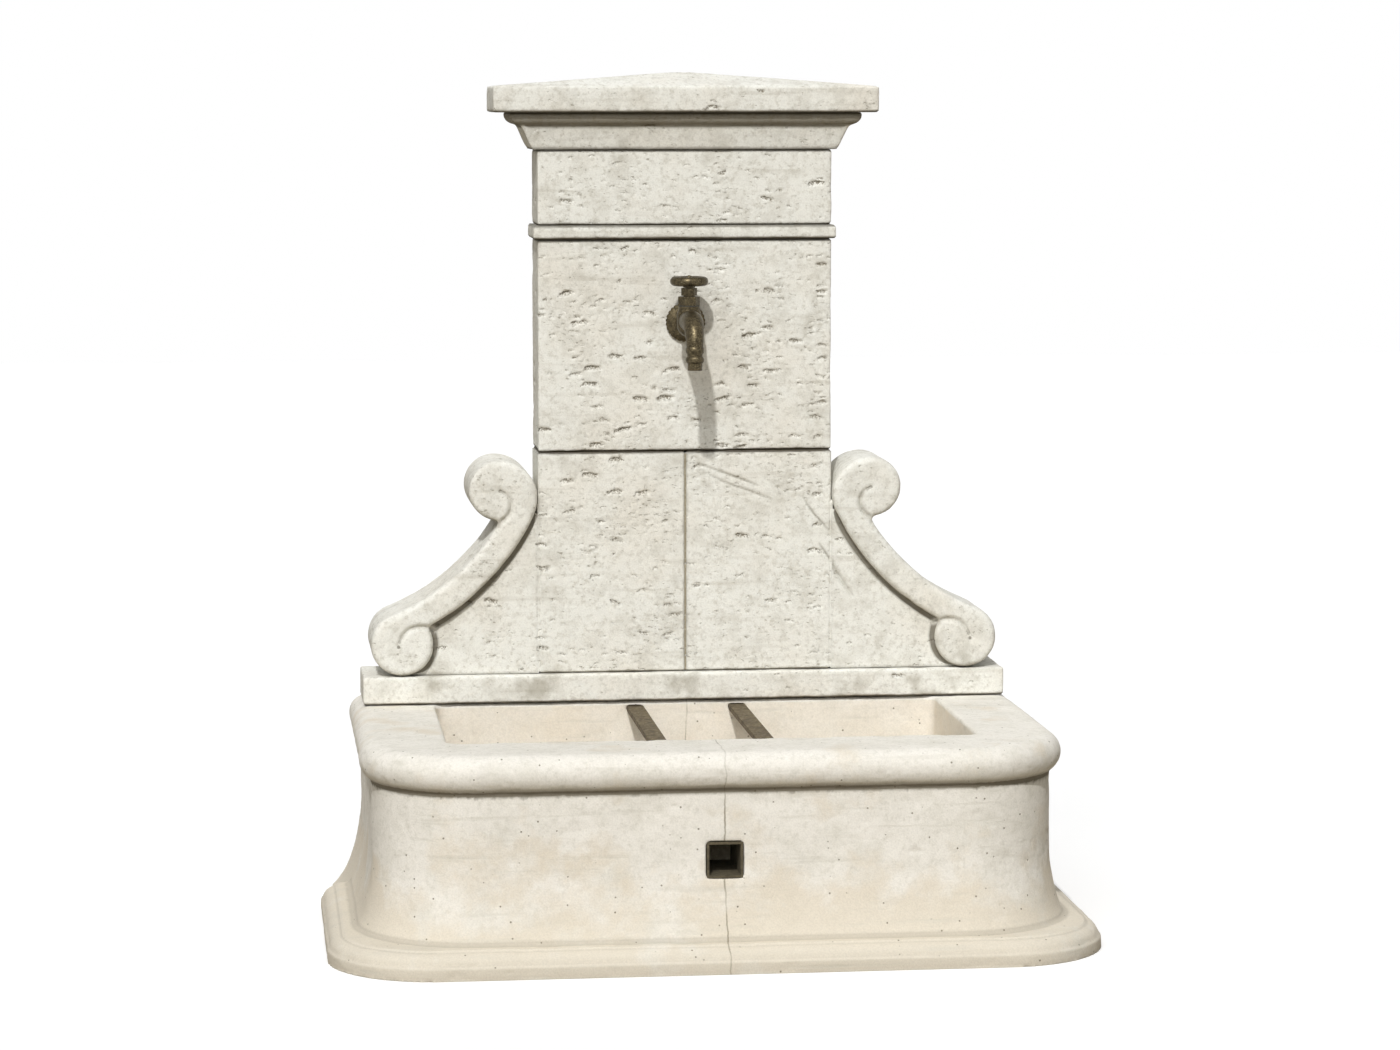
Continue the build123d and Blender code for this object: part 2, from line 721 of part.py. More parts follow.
packing = upright(0, 0, (gland_z, packing_top_z), gland_radius)
packing -= upright(0, 0, (gland_z, packing_top_z), stem_radius + running_gap)
parts["gland_packing"] = on_block * packing

# Valve: the washer lies on the seat, under the jumper, under the spindle
jumper_z = seat_height + jumper_washer_thickness
spindle_z = jumper_z + jumper_thickness
hub_z = gland_nut_top_z + wheel_lift
cap_z = hub_z + wheel_hub_height - wheel_cap

valve_washer = upright(0, 0, (seat_height, jumper_z), jumper_washer_radius)
valve_washer -= upright(0, 0, (seat_height, jumper_z), jumper_boss_radius)
parts["jumper_washer"] = on_block * valve_washer
jumper = upright(0, 0, (jumper_z, spindle_z), jumper_radius)
jumper += upright(0, 0, (spindle_z, spindle_z + jumper_stem_length), jumper_stem_radius)
jumper += upright(0, 0, (seat_height, jumper_z), jumper_boss_radius)
parts["jumper"] = on_block * jumper

# Spindle, wheel and screw
spindle = upright(0, 0, (spindle_z, spindle_z + stem_thread_length), stem_thread_radius)
spindle += upright(0, 0, (spindle_z + stem_thread_length, hub_z), stem_radius)
spindle += Pos(0, 0, hub_z) * extrude(Rectangle(square_side, square_side), cap_z - hub_z)
stem_hole = (spindle_z, spindle_z + jumper_stem_length)
spindle -= upright(0, 0, stem_hole, jumper_stem_radius + 2 * running_gap)
spindle -= upright(0, 0, (cap_z - screw_length, cap_z), screw_radius + thread_gap)
parts["spindle"] = on_block * spindle

screw_z = cap_z + wheel_cap
dome_radius = (screw_head_radius ** 2 + screw_head_height ** 2) / (2 * screw_head_height)
dome_drop = dome_radius - screw_head_height
dome_start = degrees(asin(dome_drop / dome_radius))
screw_dome = CenterArc((0, screw_z - dome_drop), dome_radius, dome_start, 90 - dome_start)
screw_foot_z = cap_z - screw_length
screw_side = Polyline(
    (0, screw_z + screw_head_height), (0, screw_foot_z), (screw_radius, screw_foot_z),
    (screw_radius, screw_z), (screw_head_radius, screw_z),
)
parts["handwheel_screw"] = on_block * turned(screw_dome, screw_side)


def handwheel():
    """A round rim on a thin web with low ribs, and a hub with a square socket."""
    rim_z = hub_z + wheel_rise
    rim_circle = wheel_radius - wheel_rim
    wheel = Pos(0, 0, rim_z) * Torus(rim_circle, wheel_rim)
    wheel += upright(0, 0, (rim_z - wheel_web / 2, rim_z + wheel_web / 2), rim_circle)
    wheel += upright(0, 0, (hub_z, screw_z), wheel_hub_radius)
    for place in PolarLocations(0, wheel_ribs):
        rib = Pos(rim_circle / 2, 0, rim_z) * Rot(0, 90, 0) * Cylinder(wheel_rib_radius, rim_circle)
        wheel += place * rib
    wheel -= Pos(0, 0, hub_z) * extrude(Rectangle(square_side, square_side), cap_z - hub_z)
    return wheel - upright(0, 0, (cap_z, screw_z), screw_radius + thread_gap)


parts["handwheel"] = on_block * handwheel()


# Supply tail through the block, clamped from the back

tail_end_y = wall_y - supply_end
washer_y = pocket_floor_y + supply_washer_thickness
nut_y = washer_y + supply_nut_height
tail = along_y(0, (face_y - tail_screw, nut_y), tap_z, thread_radius)
tail += along_y(0, (nut_y, tail_end_y), tap_z, supply_spigot_radius)
parts["supply_tail"] = tail - along_y(0, (face_y - tail_screw, tail_end_y), tap_z, water_radius)
back_washer = along_y(0, (pocket_floor_y, washer_y), tap_z, supply_washer_radius)
washer_bore = along_y(0, (pocket_floor_y, washer_y), tap_z, thread_radius + bedding_gap)
parts["supply_washer"] = back_washer - washer_bore
nut_plane = Plane(origin=(0, nut_y, tap_z), x_dir=(1, 0, 0), z_dir=(0, -1, 0))
back_nut = nut_plane * hexagon(supply_nut_flats, supply_nut_height)
parts["supply_locknut"] = back_nut - along_y(0, (washer_y, nut_y), tap_z, thread_radius + thread_gap)


# Drain in the floor of the right half

gasket_z = drain_floor + drain_gasket
drain_nut_z = drain_pocket_depth - drain_nut_height
strainer = upright(0, 0, (gasket_z, floor_thickness), drain_flange_radius)
strainer += upright(0, 0, (drain_nut_z, gasket_z), drain_tail_radius)
strainer += upright(0, 0, (drain_end, drain_nut_z), drain_spigot_radius)
strainer -= upright(0, 0, (drain_end, gasket_z), drain_bore_radius)
for place in PolarLocations(drain_hole_circle, drain_hole_count):
    strainer -= place * upright(0, 0, (gasket_z, floor_thickness), drain_hole_radius)
strainer -= upright(0, 0, (gasket_z, floor_thickness), drain_hole_radius)
at_drain = Pos(drain_x, well_middle_y, 0)
parts["drain_strainer"] = at_drain * strainer
gasket = upright(0, 0, (drain_floor, gasket_z), drain_flange_radius)
parts["drain_gasket"] = at_drain * (
    gasket - upright(0, 0, (drain_floor, gasket_z), drain_tail_radius + bedding_gap)
)
drain_nut = Pos(0, 0, drain_nut_z) * hexagon(drain_nut_flats, drain_nut_height)
drain_nut -= upright(0, 0, (drain_nut_z, drain_pocket_depth), drain_tail_radius + thread_gap)
parts["drain_backnut"] = at_drain * drain_nut


os.makedirs("parts", exist_ok=True)
for name, solid in parts.items():
    export_step(solid, f"parts/{name}.step")
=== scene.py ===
# %% [markdown]
# # A garden wall fountain in cast stone
# The frame is the fountain's construction at its real size: stones, tap, seals and dowels, each in its own
# place. This lesson dresses it. Stone pieces are copied, remeshed and weathered; metal pieces get their finish.

# %% Load the frame
import json
import math

import bpy
import numpy as np
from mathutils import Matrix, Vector

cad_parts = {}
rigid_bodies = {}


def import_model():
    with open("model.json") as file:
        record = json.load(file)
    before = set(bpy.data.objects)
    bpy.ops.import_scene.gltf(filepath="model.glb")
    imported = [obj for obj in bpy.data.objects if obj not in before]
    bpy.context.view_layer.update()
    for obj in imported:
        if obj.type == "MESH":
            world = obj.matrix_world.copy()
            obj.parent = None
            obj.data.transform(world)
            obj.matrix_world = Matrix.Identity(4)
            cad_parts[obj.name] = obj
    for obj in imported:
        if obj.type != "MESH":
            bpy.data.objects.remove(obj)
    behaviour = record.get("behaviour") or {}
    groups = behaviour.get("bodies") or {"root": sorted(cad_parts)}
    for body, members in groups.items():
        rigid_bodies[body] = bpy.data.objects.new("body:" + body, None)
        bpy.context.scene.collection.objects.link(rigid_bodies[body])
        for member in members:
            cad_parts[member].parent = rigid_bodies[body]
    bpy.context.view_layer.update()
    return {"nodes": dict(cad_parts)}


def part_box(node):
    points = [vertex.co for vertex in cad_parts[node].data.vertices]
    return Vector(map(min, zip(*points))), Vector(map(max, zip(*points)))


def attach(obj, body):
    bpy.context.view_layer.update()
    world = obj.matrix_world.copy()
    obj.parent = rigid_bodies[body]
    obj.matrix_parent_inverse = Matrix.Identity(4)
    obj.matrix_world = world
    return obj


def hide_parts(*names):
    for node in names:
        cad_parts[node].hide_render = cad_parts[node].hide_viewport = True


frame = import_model()
MM = 0.001

# %% [markdown]
# ## The camera
# The photograph was taken from a little left of the middle, at about the height of the cap, with a long lens.
# Its place and angle were worked out from the straight edges of the stones.

# %% Camera
camera_place = (-0.8275, -6.972, 1.4835)
camera_pan = math.radians(6.732)
camera_tilt = math.radians(6.217)
photo_width_px = 1400
focal_length_px = 4000

bpy.ops.object.select_all(action="DESELECT")
bpy.ops.object.camera_add(location=camera_place, rotation=(math.pi / 2 - camera_tilt, 0, -camera_pan))
camera = bpy.context.object
camera.data.lens = camera.data.sensor_width * focal_length_px / photo_width_px
camera.data.clip_end = 100
bpy.context.scene.camera = camera
print("lens", round(camera.data.lens, 1), "mm")

# %% [markdown]
# ## Helpers
# Colours are written as sRGB hex values, and Blender's sockets want linear light.
# One function adds a node to any node tree, with its settings, its values and its links.

# %% Helpers for colours and nodes
# The nodes and operations that come up most
MATH, VECTOR_MATH = "ShaderNodeMath", "ShaderNodeVectorMath"
NOISE, MAP_RANGE, SPLIT = "ShaderNodeTexNoise", "ShaderNodeMapRange", "ShaderNodeSeparateXYZ"
ADD, SUBTRACT, MULTIPLY, DIVIDE, MULTIPLY_ADD = (
    {"operation": name} for name in ("ADD", "SUBTRACT", "MULTIPLY", "DIVIDE", "MULTIPLY_ADD")
)
MAXIMUM, ABSOLUTE, LESS_THAN, GREATER_THAN = (
    {"operation": name} for name in ("MAXIMUM", "ABSOLUTE", "LESS_THAN", "GREATER_THAN")
)


def linear(colour):
    """An sRGB hex colour as linear red, green, blue and alpha."""
    channels = [int(colour[place:place + 2], 16) / 255 for place in (1, 3, 5)]
    return tuple(c / 12.92 if c <= 0.04045 else ((c + 0.055) / 1.055) ** 2.4 for c in channels) + (1.0,)


def add_node(tree, kind, settings=None, values=None, links=None, out=0):
    """A new node with its settings, socket values and links. Gives one output, or with None all of them."""
    node = tree.nodes.new(kind)
    for name, value in (settings or {}).items():
        setattr(node, name, value)
    for socket, value in (values or {}).items():
        node.inputs[socket].default_value = value
    for socket, source in (links or {}).items():
        tree.links.new(source, node.inputs[socket])
    return node.outputs if out is None else node.outputs[out]


def only(obj):
    """Selects one object and makes it active."""
    bpy.ops.object.select_all(action="DESELECT")
    obj.select_set(True)
    bpy.context.view_layer.objects.active = obj


# %% [markdown]
# ## Weathering the stone
# Cast stone comes out of its mould with soft arrises, shallow waves, and chips that the mix left open. It could
# be sculpted by hand, but a geometry node group does the same to every stone from a few sizes: it blurs the edges
# by an uneven amount, sinks waves and chips along the normals, and stores what the material needs: how near a
# joint is, where chips may be, how hollow the shape is. Faces in a joint or against the wall stay flat.

# %% Nearness to the joints
NOISE_SPAN = {"From Min": 0.3, "From Max": 0.7}  # a noise texture seldom leaves these values
# The dark of an open joint is dirt and painted shade together
JOINT_DARK_REACH = (3.5 * MM, 7 * MM)  # how far dirt creeps out of an open joint
JOINT_DARK_RAGGED = 14 * MM
JOINT_DARK_FULL = 0.5 * MM
SHUT_REACH = (8 * MM, 20 * MM)  # how far from a closed joint the arris stays sharp
ON_JOINT = 0.1 * MM


def joint_nodes(group, place, given):
    """How dark with dirt and painted shade the nearest joint is at each point, how open it is, and 1 where the
    face isn't bedded.
    """
    ragged = add_node(group, NOISE, values={"Scale": 1 / JOINT_DARK_RAGGED, "Detail": 3}, links={"Vector": place})
    ragged = add_node(
        group, MAP_RANGE, values=NOISE_SPAN | {"To Min": JOINT_DARK_REACH[0], "To Max": JOINT_DARK_REACH[1]},
        links={"Value": ragged},
    )
    dirt_and_shade, closed, nearest = None, None, None
    for side in ("Low", "High"):
        away = add_node(group, VECTOR_MATH, SUBTRACT, links={0: place, 1: given["Joint " + side]})
        away = add_node(group, VECTOR_MATH, ABSOLUTE, links={0: away})
        gaps = add_node(group, SPLIT, links={0: away}, out=None)
        openings = add_node(group, SPLIT, links={0: given["Open " + side]}, out=None)
        for gap, opening in zip(gaps, openings):
            near = add_node(
                group, MAP_RANGE, values={"From Max": JOINT_DARK_FULL}, links={"Value": gap, "From Min": ragged}
            )
            near = add_node(group, MATH, MULTIPLY, links={0: near, 1: opening})
            shut = add_node(group, MATH, SUBTRACT, {0: 1.0}, {1: opening})
            reach = add_node(
                group, MAP_RANGE, values={"From Min": SHUT_REACH[1], "From Max": SHUT_REACH[0]},
                links={"Value": gap},
            )
            shut = add_node(group, MATH, MULTIPLY, links={0: shut, 1: reach})
            if dirt_and_shade is None:
                dirt_and_shade, closed, nearest = near, shut, gap
                continue
            dirt_and_shade = add_node(group, MATH, MAXIMUM, links={0: dirt_and_shade, 1: near})
            closed = add_node(group, MATH, MAXIMUM, links={0: closed, 1: shut})
            nearest = add_node(group, MATH, {"operation": "MINIMUM"}, links={0: nearest, 1: gap})
    opened = add_node(group, MATH, SUBTRACT, {0: 1.0}, {1: closed})
    free = add_node(group, MATH, GREATER_THAN, {1: ON_JOINT}, {0: nearest})
    return dirt_and_shade, opened, free


# %% [markdown]
# A chip in this stone is a short arch, sharp along its upper edge and running out below. Voronoi cells give each
# chip a place and three random numbers; the place inside a cell, divided by the chip's size, gives its shape.
# Geometry and material trees have the same texture nodes, so one function makes the pattern in both, and the
# painted shade fits the dent.

# %% Chips
LARGE_CELL = (46 * MM, 28 * MM)
SMALL_CELL = (19 * MM, 13 * MM)
SMALL_DEPTH = 0.6  # of the depth of the large chips
CHIP_HALF = (0.36, 0.17)  # half the width and height of the largest chip, as a share of its cell
SMALLEST = 0.4  # of the largest chip
LEAN = 0.7
ARCH = 0.6
RAGGED_EDGES = ((14 * MM, 14 * MM), (4 * MM, 7 * MM))  # the size of each noise, and how far it moves an edge


def chip_layer(tree, along, cell, cover):
    """Chips in the cells of a random grid: 1 at the deepest, 0 outside. cell is the grid's width and height."""
    cells = add_node(tree, VECTOR_MATH, DIVIDE, {1: (*cell, 1.0)}, {0: along})
    grid = add_node(
        tree, "ShaderNodeTexVoronoi", {"voronoi_dimensions": "2D"}, {"Scale": 1.0}, {"Vector": cells}, out=None
    )
    splitter = "ShaderNodeSeparateColor" if tree.type == "SHADER" else "FunctionNodeSeparateColor"
    chance, size, tilt = add_node(tree, splitter, links={0: grid["Color"]}, out=None)[:3]
    size = add_node(tree, MAP_RANGE, values={"To Min": SMALLEST, "To Max": 1.0}, links={"Value": size})
    away = add_node(tree, VECTOR_MATH, SUBTRACT, links={0: cells, 1: grid["Position"]})
    away = add_node(tree, VECTOR_MATH, DIVIDE, {1: (*CHIP_HALF, 1.0)}, {0: away})
    grown = add_node(tree, MATH, DIVIDE, {0: 1.0}, {1: size})
    away = add_node(tree, VECTOR_MATH, {"operation": "SCALE"}, links={0: away, "Scale": grown})
    aside, above, _ = add_node(tree, SPLIT, links={0: away}, out=None)
    lean = add_node(tree, MAP_RANGE, values={"To Min": -LEAN, "To Max": LEAN}, links={"Value": tilt})
    above = add_node(tree, MATH, MULTIPLY_ADD, links={0: aside, 1: lean, 2: above})
    square = add_node(tree, MATH, MULTIPLY, links={0: aside, 1: aside})
    arch = add_node(tree, MATH, MULTIPLY_ADD, {1: ARCH}, {0: square, 2: above})

    # The ends and the top break off sharply, and the foot runs out slowly
    chip = add_node(tree, MATH, LESS_THAN, links={0: chance, 1: cover})
    parts = [size]
    for value, outside, inside in ((square, 1.0, 0.5), (arch, 1.0, 0.75), (arch, -1.3, 0.7)):
        limits = {"From Min": outside, "From Max": inside}
        parts.append(add_node(tree, MAP_RANGE, values=limits, links={"Value": value}))
    for part in parts:
        chip = add_node(tree, MATH, MULTIPLY, links={0: chip, 1: part})
    return chip


def chip_pattern(tree, place, cover):
    """Large and small chips with ragged edges, laid out along the face whichever way it turns."""
    x, y, z = add_node(tree, SPLIT, links={0: place}, out=None)
    round_corner = add_node(tree, MATH, ADD, links={0: x, 1: y})
    along = add_node(tree, "ShaderNodeCombineXYZ", links={0: round_corner, 1: z})
    for size, reach in RAGGED_EDGES:
        ragged = add_node(
            tree, NOISE, values={"Scale": 1 / size, "Detail": 2}, links={"Vector": place}, out="Color"
        )
        ragged = add_node(
            tree, VECTOR_MATH, MULTIPLY_ADD,
            {1: (reach, 0.7 * reach, 0.0), 2: (-0.5 * reach, -0.35 * reach, 0.0)}, {0: ragged},
        )
        along = add_node(tree, VECTOR_MATH, ADD, links={0: along, 1: ragged})
    large = chip_layer(tree, along, LARGE_CELL, cover)
    small = chip_layer(tree, along, SMALL_CELL, cover)
    small = add_node(tree, MATH, MULTIPLY, {1: SMALL_DEPTH}, {0: small})
    return add_node(tree, MATH, MAXIMUM, links={0: large, 1: small})


# %% [markdown]
# The curl of a scroll and the long scratches are drawn as curves on a front face. The nearest point of a curve
# gives the distance for a V, and the radius of the curve's points makes the V shallow at its ends. The V is
# pressed straight back from the curve, so that it takes in whatever groove is there already.

# %% Carved lines
LINE_STEP = 3 * MM
VEE_POWER = 1.6  # above 1, the V's sides are hollow


def line_nodes(group, place, given):
    """How stained by a carved line each point is, and how far it has to move back."""
    drawn = add_node(group, "GeometryNodeObjectInfo", links={"Object": given["Lines"]}, out="Geometry")
    drawn = add_node(
        group, "GeometryNodeStoreNamedAttribute", {"data_type": "FLOAT", "domain": "POINT"}, {"Name": "depth"},
        {"Geometry": drawn, "Value": add_node(group, "GeometryNodeInputRadius")},
    )
    drawn = add_node(
        group, "GeometryNodeResampleCurve", {"mode": "LENGTH"}, {"Length": LINE_STEP}, {"Curve": drawn}
    )
    drawn = add_node(group, "GeometryNodeCurveToMesh", links={"Curve": drawn})
    spot = add_node(group, "GeometryNodeProximity", {"target_element": "EDGES"}, links={0: drawn}, out="Position")
    nearest = add_node(group, "GeometryNodeSampleNearest", {"domain": "POINT"}, links={0: drawn})
    stored = add_node(group, "GeometryNodeInputNamedAttribute", {"data_type": "FLOAT"}, {"Name": "depth"})
    depth = add_node(
        group, "GeometryNodeSampleIndex", {"data_type": "FLOAT", "domain": "POINT"},
        links={"Geometry": drawn, "Value": stored, "Index": nearest},
    )
    away = add_node(group, VECTOR_MATH, SUBTRACT, links={0: place, 1: spot})
    aside = add_node(group, VECTOR_MATH, MULTIPLY, {1: (1.0, 0.0, 1.0)}, {0: away})
    aside = add_node(group, VECTOR_MATH, {"operation": "LENGTH"}, links={0: aside}, out="Value")
    vee = add_node(
        group, MAP_RANGE, values={"From Min": 0.0, "To Min": 1.0, "To Max": 0.0},
        links={"Value": aside, "From Max": given["Line Width"]},
    )
    vee = add_node(group, MATH, {"operation": "POWER"}, {1: VEE_POWER}, {0: vee})
    line = add_node(group, MATH, MULTIPLY, links={0: vee, 1: depth})
    behind = add_node(group, SPLIT, links={0: away}, out=1)
    back = add_node(group, MATH, MULTIPLY, links={0: line, 1: given["Line Depth"]})
    back = add_node(group, MATH, SUBTRACT, links={0: back, 1: behind})
    back = add_node(group, MATH, MAXIMUM, {1: 0.0}, {0: back})
    here = add_node(group, MATH, GREATER_THAN, {1: 0.001}, {0: line})
    back = add_node(group, MATH, MULTIPLY, links={0: back, 1: here})
    stain = add_node(group, MATH, MULTIPLY, links={0: line, 1: given["Line Stain"]})
    return stain, back


# %% [markdown]
# Wear takes the arrises off. Blurring the places of the vertices pulls an edge in and a hollow out and leaves a
# flat face alone, so the way to the blurred place is both the wear and a measure of how hollow the shape is.
# Waves and torn patches are noises of real sizes, and they only ever sink the face, so the stone stays in its box.

# %% Worn arrises, waves and chips
BLUR_STEPS = 12
WEAR_SIZE = 45 * MM
WEAR_SHARES = {"To Min": 0.15, "To Max": 1.3}
WAVE_SIZE = 110 * MM
TORN_SIZE = 11 * MM
PATCH_SIZE = 85 * MM
MOST_UPRIGHT = 0.7  # a face whose normal rises or falls more than this has no chips


def wear_nodes(group, place, normal, given, opened):
    """How far wear moves each point, and how hollow the shape is there, in millimetres."""
    soft = add_node(
        group, "GeometryNodeBlurAttribute", {"data_type": "FLOAT_VECTOR"}, {"Iterations": BLUR_STEPS},
        {"Value": place},
    )
    pull = add_node(group, VECTOR_MATH, SUBTRACT, links={0: soft, 1: place})
    hollow = add_node(group, VECTOR_MATH, {"operation": "DOT_PRODUCT"}, links={0: pull, 1: normal}, out="Value")
    hollow = add_node(group, MATH, DIVIDE, {1: MM}, {0: hollow})
    uneven = add_node(group, NOISE, values={"Scale": 1 / WEAR_SIZE, "Detail": 3}, links={"Vector": place})
    wear = add_node(group, MAP_RANGE, values=NOISE_SPAN | WEAR_SHARES, links={"Value": uneven})
    for part in (given["Wear"], opened):
        wear = add_node(group, MATH, MULTIPLY, links={0: wear, 1: part})
    return add_node(group, VECTOR_MATH, {"operation": "SCALE"}, links={0: pull, "Scale": wear}), hollow


def wave_nodes(group, place, given):
    """How deep the waves are, where the face is torn, and the patches that tears and chips follow."""
    waves = add_node(
        group, NOISE, values={"Scale": 1 / WAVE_SIZE, "Detail": 4, "Roughness": 0.55}, links={"Vector": place}
    )
    torn = add_node(group, NOISE, values={"Scale": 1 / TORN_SIZE, "Detail": 2}, links={"Vector": place})
    patches = add_node(group, NOISE, values={"Scale": 1 / PATCH_SIZE, "Detail": 3}, links={"Vector": place})
    rough = add_node(group, MAP_RANGE, values={"From Min": 0.5, "From Max": 0.62}, links={"Value": patches})
    torn = add_node(group, MATH, MULTIPLY, links={0: torn, 1: rough})
    waves = add_node(group, MATH, ADD, links={0: waves, 1: torn})
    depth = add_node(group, MATH, MULTIPLY, links={0: waves, 1: given["Wave Depth"]})
    return depth, rough, patches


def chip_nodes(group, place, steep, patches, free, given):
    """How deep the chips are, and their cover: on upright faces only, and thicker in the patches."""
    cover = add_node(
        group, MAP_RANGE, values={"From Min": 0.38, "From Max": 0.62, "To Min": 0.2, "To Max": 2.0},
        links={"Value": patches},
    )
    y = add_node(group, SPLIT, links={0: place}, out=1)
    back = add_node(group, MATH, GREATER_THAN, links={0: y, 1: given["Rough From Y"]})
    steep = add_node(group, MATH, ABSOLUTE, links={0: steep})
    upright = add_node(group, MATH, LESS_THAN, {1: MOST_UPRIGHT}, {0: steep})
    for part in (given["Chip Cover"], back, upright, free):
        cover = add_node(group, MATH, MULTIPLY, links={0: cover, 1: part})
    chip = chip_pattern(group, place, cover)
    depth = add_node(group, MATH, MULTIPLY, links={0: chip, 1: given["Chip Depth"]})
    return depth, cover


# %% [markdown]
# The group puts these together. A group's inputs can differ from stone to stone while its nodes stay the same,
# so every stone is worn by one group. What it stores on the mesh outlives it, and the material reads it by name.

# %% The weathering group
GIVEN_SIZES = (
    "Line Depth", "Line Width", "Line Stain", "Chip Depth", "Chip Cover", "Wave Depth", "Wear", "Rough From Y"
)
GIVEN_PLACES = ("Joint Low", "Joint High", "Open Low", "Open High")
# Undersides get painted shade, the more the steeper their normal falls
UNDERSIDE_SHADE_SPAN = {"From Min": -0.62, "From Max": -0.95}  # from a normal that falls steeply to one straight down


def weathering_group():
    """The node group that wears a stone, with its sizes as inputs."""
    group = bpy.data.node_groups.new("Weathering", "GeometryNodeTree")
    face = group.interface
    face.new_socket("Geometry", in_out="INPUT", socket_type="NodeSocketGeometry")
    face.new_socket("Geometry", in_out="OUTPUT", socket_type="NodeSocketGeometry")
    face.new_socket("Lines", in_out="INPUT", socket_type="NodeSocketObject")
    for name in GIVEN_SIZES:
        face.new_socket(name, in_out="INPUT", socket_type="NodeSocketFloat")
    for name in GIVEN_PLACES:
        face.new_socket(name, in_out="INPUT", socket_type="NodeSocketVector")
    given = add_node(group, "NodeGroupInput", out=None)
    place = add_node(group, "GeometryNodeInputPosition")
    normal = add_node(group, "GeometryNodeInputNormal")
    steep = add_node(group, SPLIT, links={0: normal}, out=2)
    # How much painted shade an underside gets, stored for the material
    under = add_node(group, MAP_RANGE, values=UNDERSIDE_SHADE_SPAN, links={"Value": steep})

    dirt_and_shade, opened, free = joint_nodes(group, place, given)
    worn, hollow = wear_nodes(group, place, normal, given, opened)
    waves, rough, patches = wave_nodes(group, place, given)
    chips, cover = chip_nodes(group, place, steep, patches, free, given)
    line, carved = line_nodes(group, place, given)

    # Waves and chips sink along the normal, lines go straight back, and bedded faces stay
    sink = add_node(group, MATH, ADD, links={0: waves, 1: chips})
    sink = add_node(group, MATH, MULTIPLY, links={0: sink, 1: free})
    sink = add_node(group, MATH, MULTIPLY, {1: -1.0}, {0: sink})
    move = add_node(group, VECTOR_MATH, {"operation": "SCALE"}, links={0: normal, "Scale": sink})
    carved = add_node(group, "ShaderNodeCombineXYZ", links={1: carved})
    for part in (worn, carved):
        move = add_node(group, VECTOR_MATH, ADD, links={0: move, 1: part})
    stone = given["Geometry"]
    stored = {"cover": cover, "joint": dirt_and_shade, "line": line, "rough": rough, "hollow": hollow, "under": under}
    for name, value in stored.items():
        stone = add_node(
            group, "GeometryNodeStoreNamedAttribute", {"data_type": "FLOAT", "domain": "POINT"}, {"Name": name},
            {"Geometry": stone, "Value": value},
        )
    stone = add_node(group, "GeometryNodeSetPosition", links={"Geometry": stone, "Offset": move})
    add_node(group, "NodeGroupOutput", links={0: stone}, out=None)
    return group


weathering = weathering_group()
print("weathering nodes", len(weathering.nodes))

# %% [markdown]
# ## From a CAD node to a stone
# A stone starts as a copy of its CAD node, so it has the right size and place. The copy is merged, because a CAD
# mesh is loose triangles, and remeshed with small even faces that can carry chips. After weathering, the faces
# that lie in a joint, where no one sees them, are thinned.

# %% Copying and wearing one stone
FAR = 9.0  # metres, well outside the fountain
MERGE_GAP = 0.01 * MM
BEDDED_SAVING = 0.9  # the share of bedded faces that thinning takes away
MOST_TRIANGLES = 190000
SHARP_ANGLE = math.radians(60)
PLAIN = {"Rough From Y": -FAR, "Line Depth": 0.0, "Line Width": 5 * MM, "Line Stain": 1.0}


def vertex_places(mesh):
    """All vertices of a mesh as rows of x, y and z."""
    places = np.empty(len(mesh.vertices) * 3)
    mesh.vertices.foreach_get("co", places)
    return places.reshape(-1, 3)


def triangle_count(mesh):
    """How many triangles the faces of a mesh make."""
    mesh.calc_loop_triangles()
    return len(mesh.loop_triangles)


def merged_copy(node):
    """A copy of a CAD node with its loose triangles merged."""
    only(frame["nodes"][node])
    bpy.ops.object.duplicate()
    copy = bpy.context.object
    bpy.ops.object.parent_clear(type="CLEAR_KEEP_TRANSFORM")
    copy.name = node + "_worn"
    bpy.ops.object.mode_set(mode="EDIT")
    bpy.ops.mesh.select_all(action="SELECT")
    bpy.ops.mesh.remove_doubles(threshold=MERGE_GAP)
    bpy.ops.object.mode_set(mode="OBJECT")
    return copy


def remeshed(stone, voxel):
    """Gives a stone even faces of about one voxel."""
    remesh = stone.modifiers.new("Fine mesh", "REMESH")
    remesh.mode = "VOXEL"
    remesh.voxel_size = voxel
    bpy.ops.object.modifier_apply(modifier=remesh.name)


def thinned(stone, ratio, group=""):
    """Collapses edges until the given share of the faces is left, in a vertex group or all over."""
    thin = stone.modifiers.new("Fewer faces", "DECIMATE")
    thin.vertex_group = group
    thin.ratio = ratio
    bpy.ops.object.modifier_apply(modifier=thin.name)


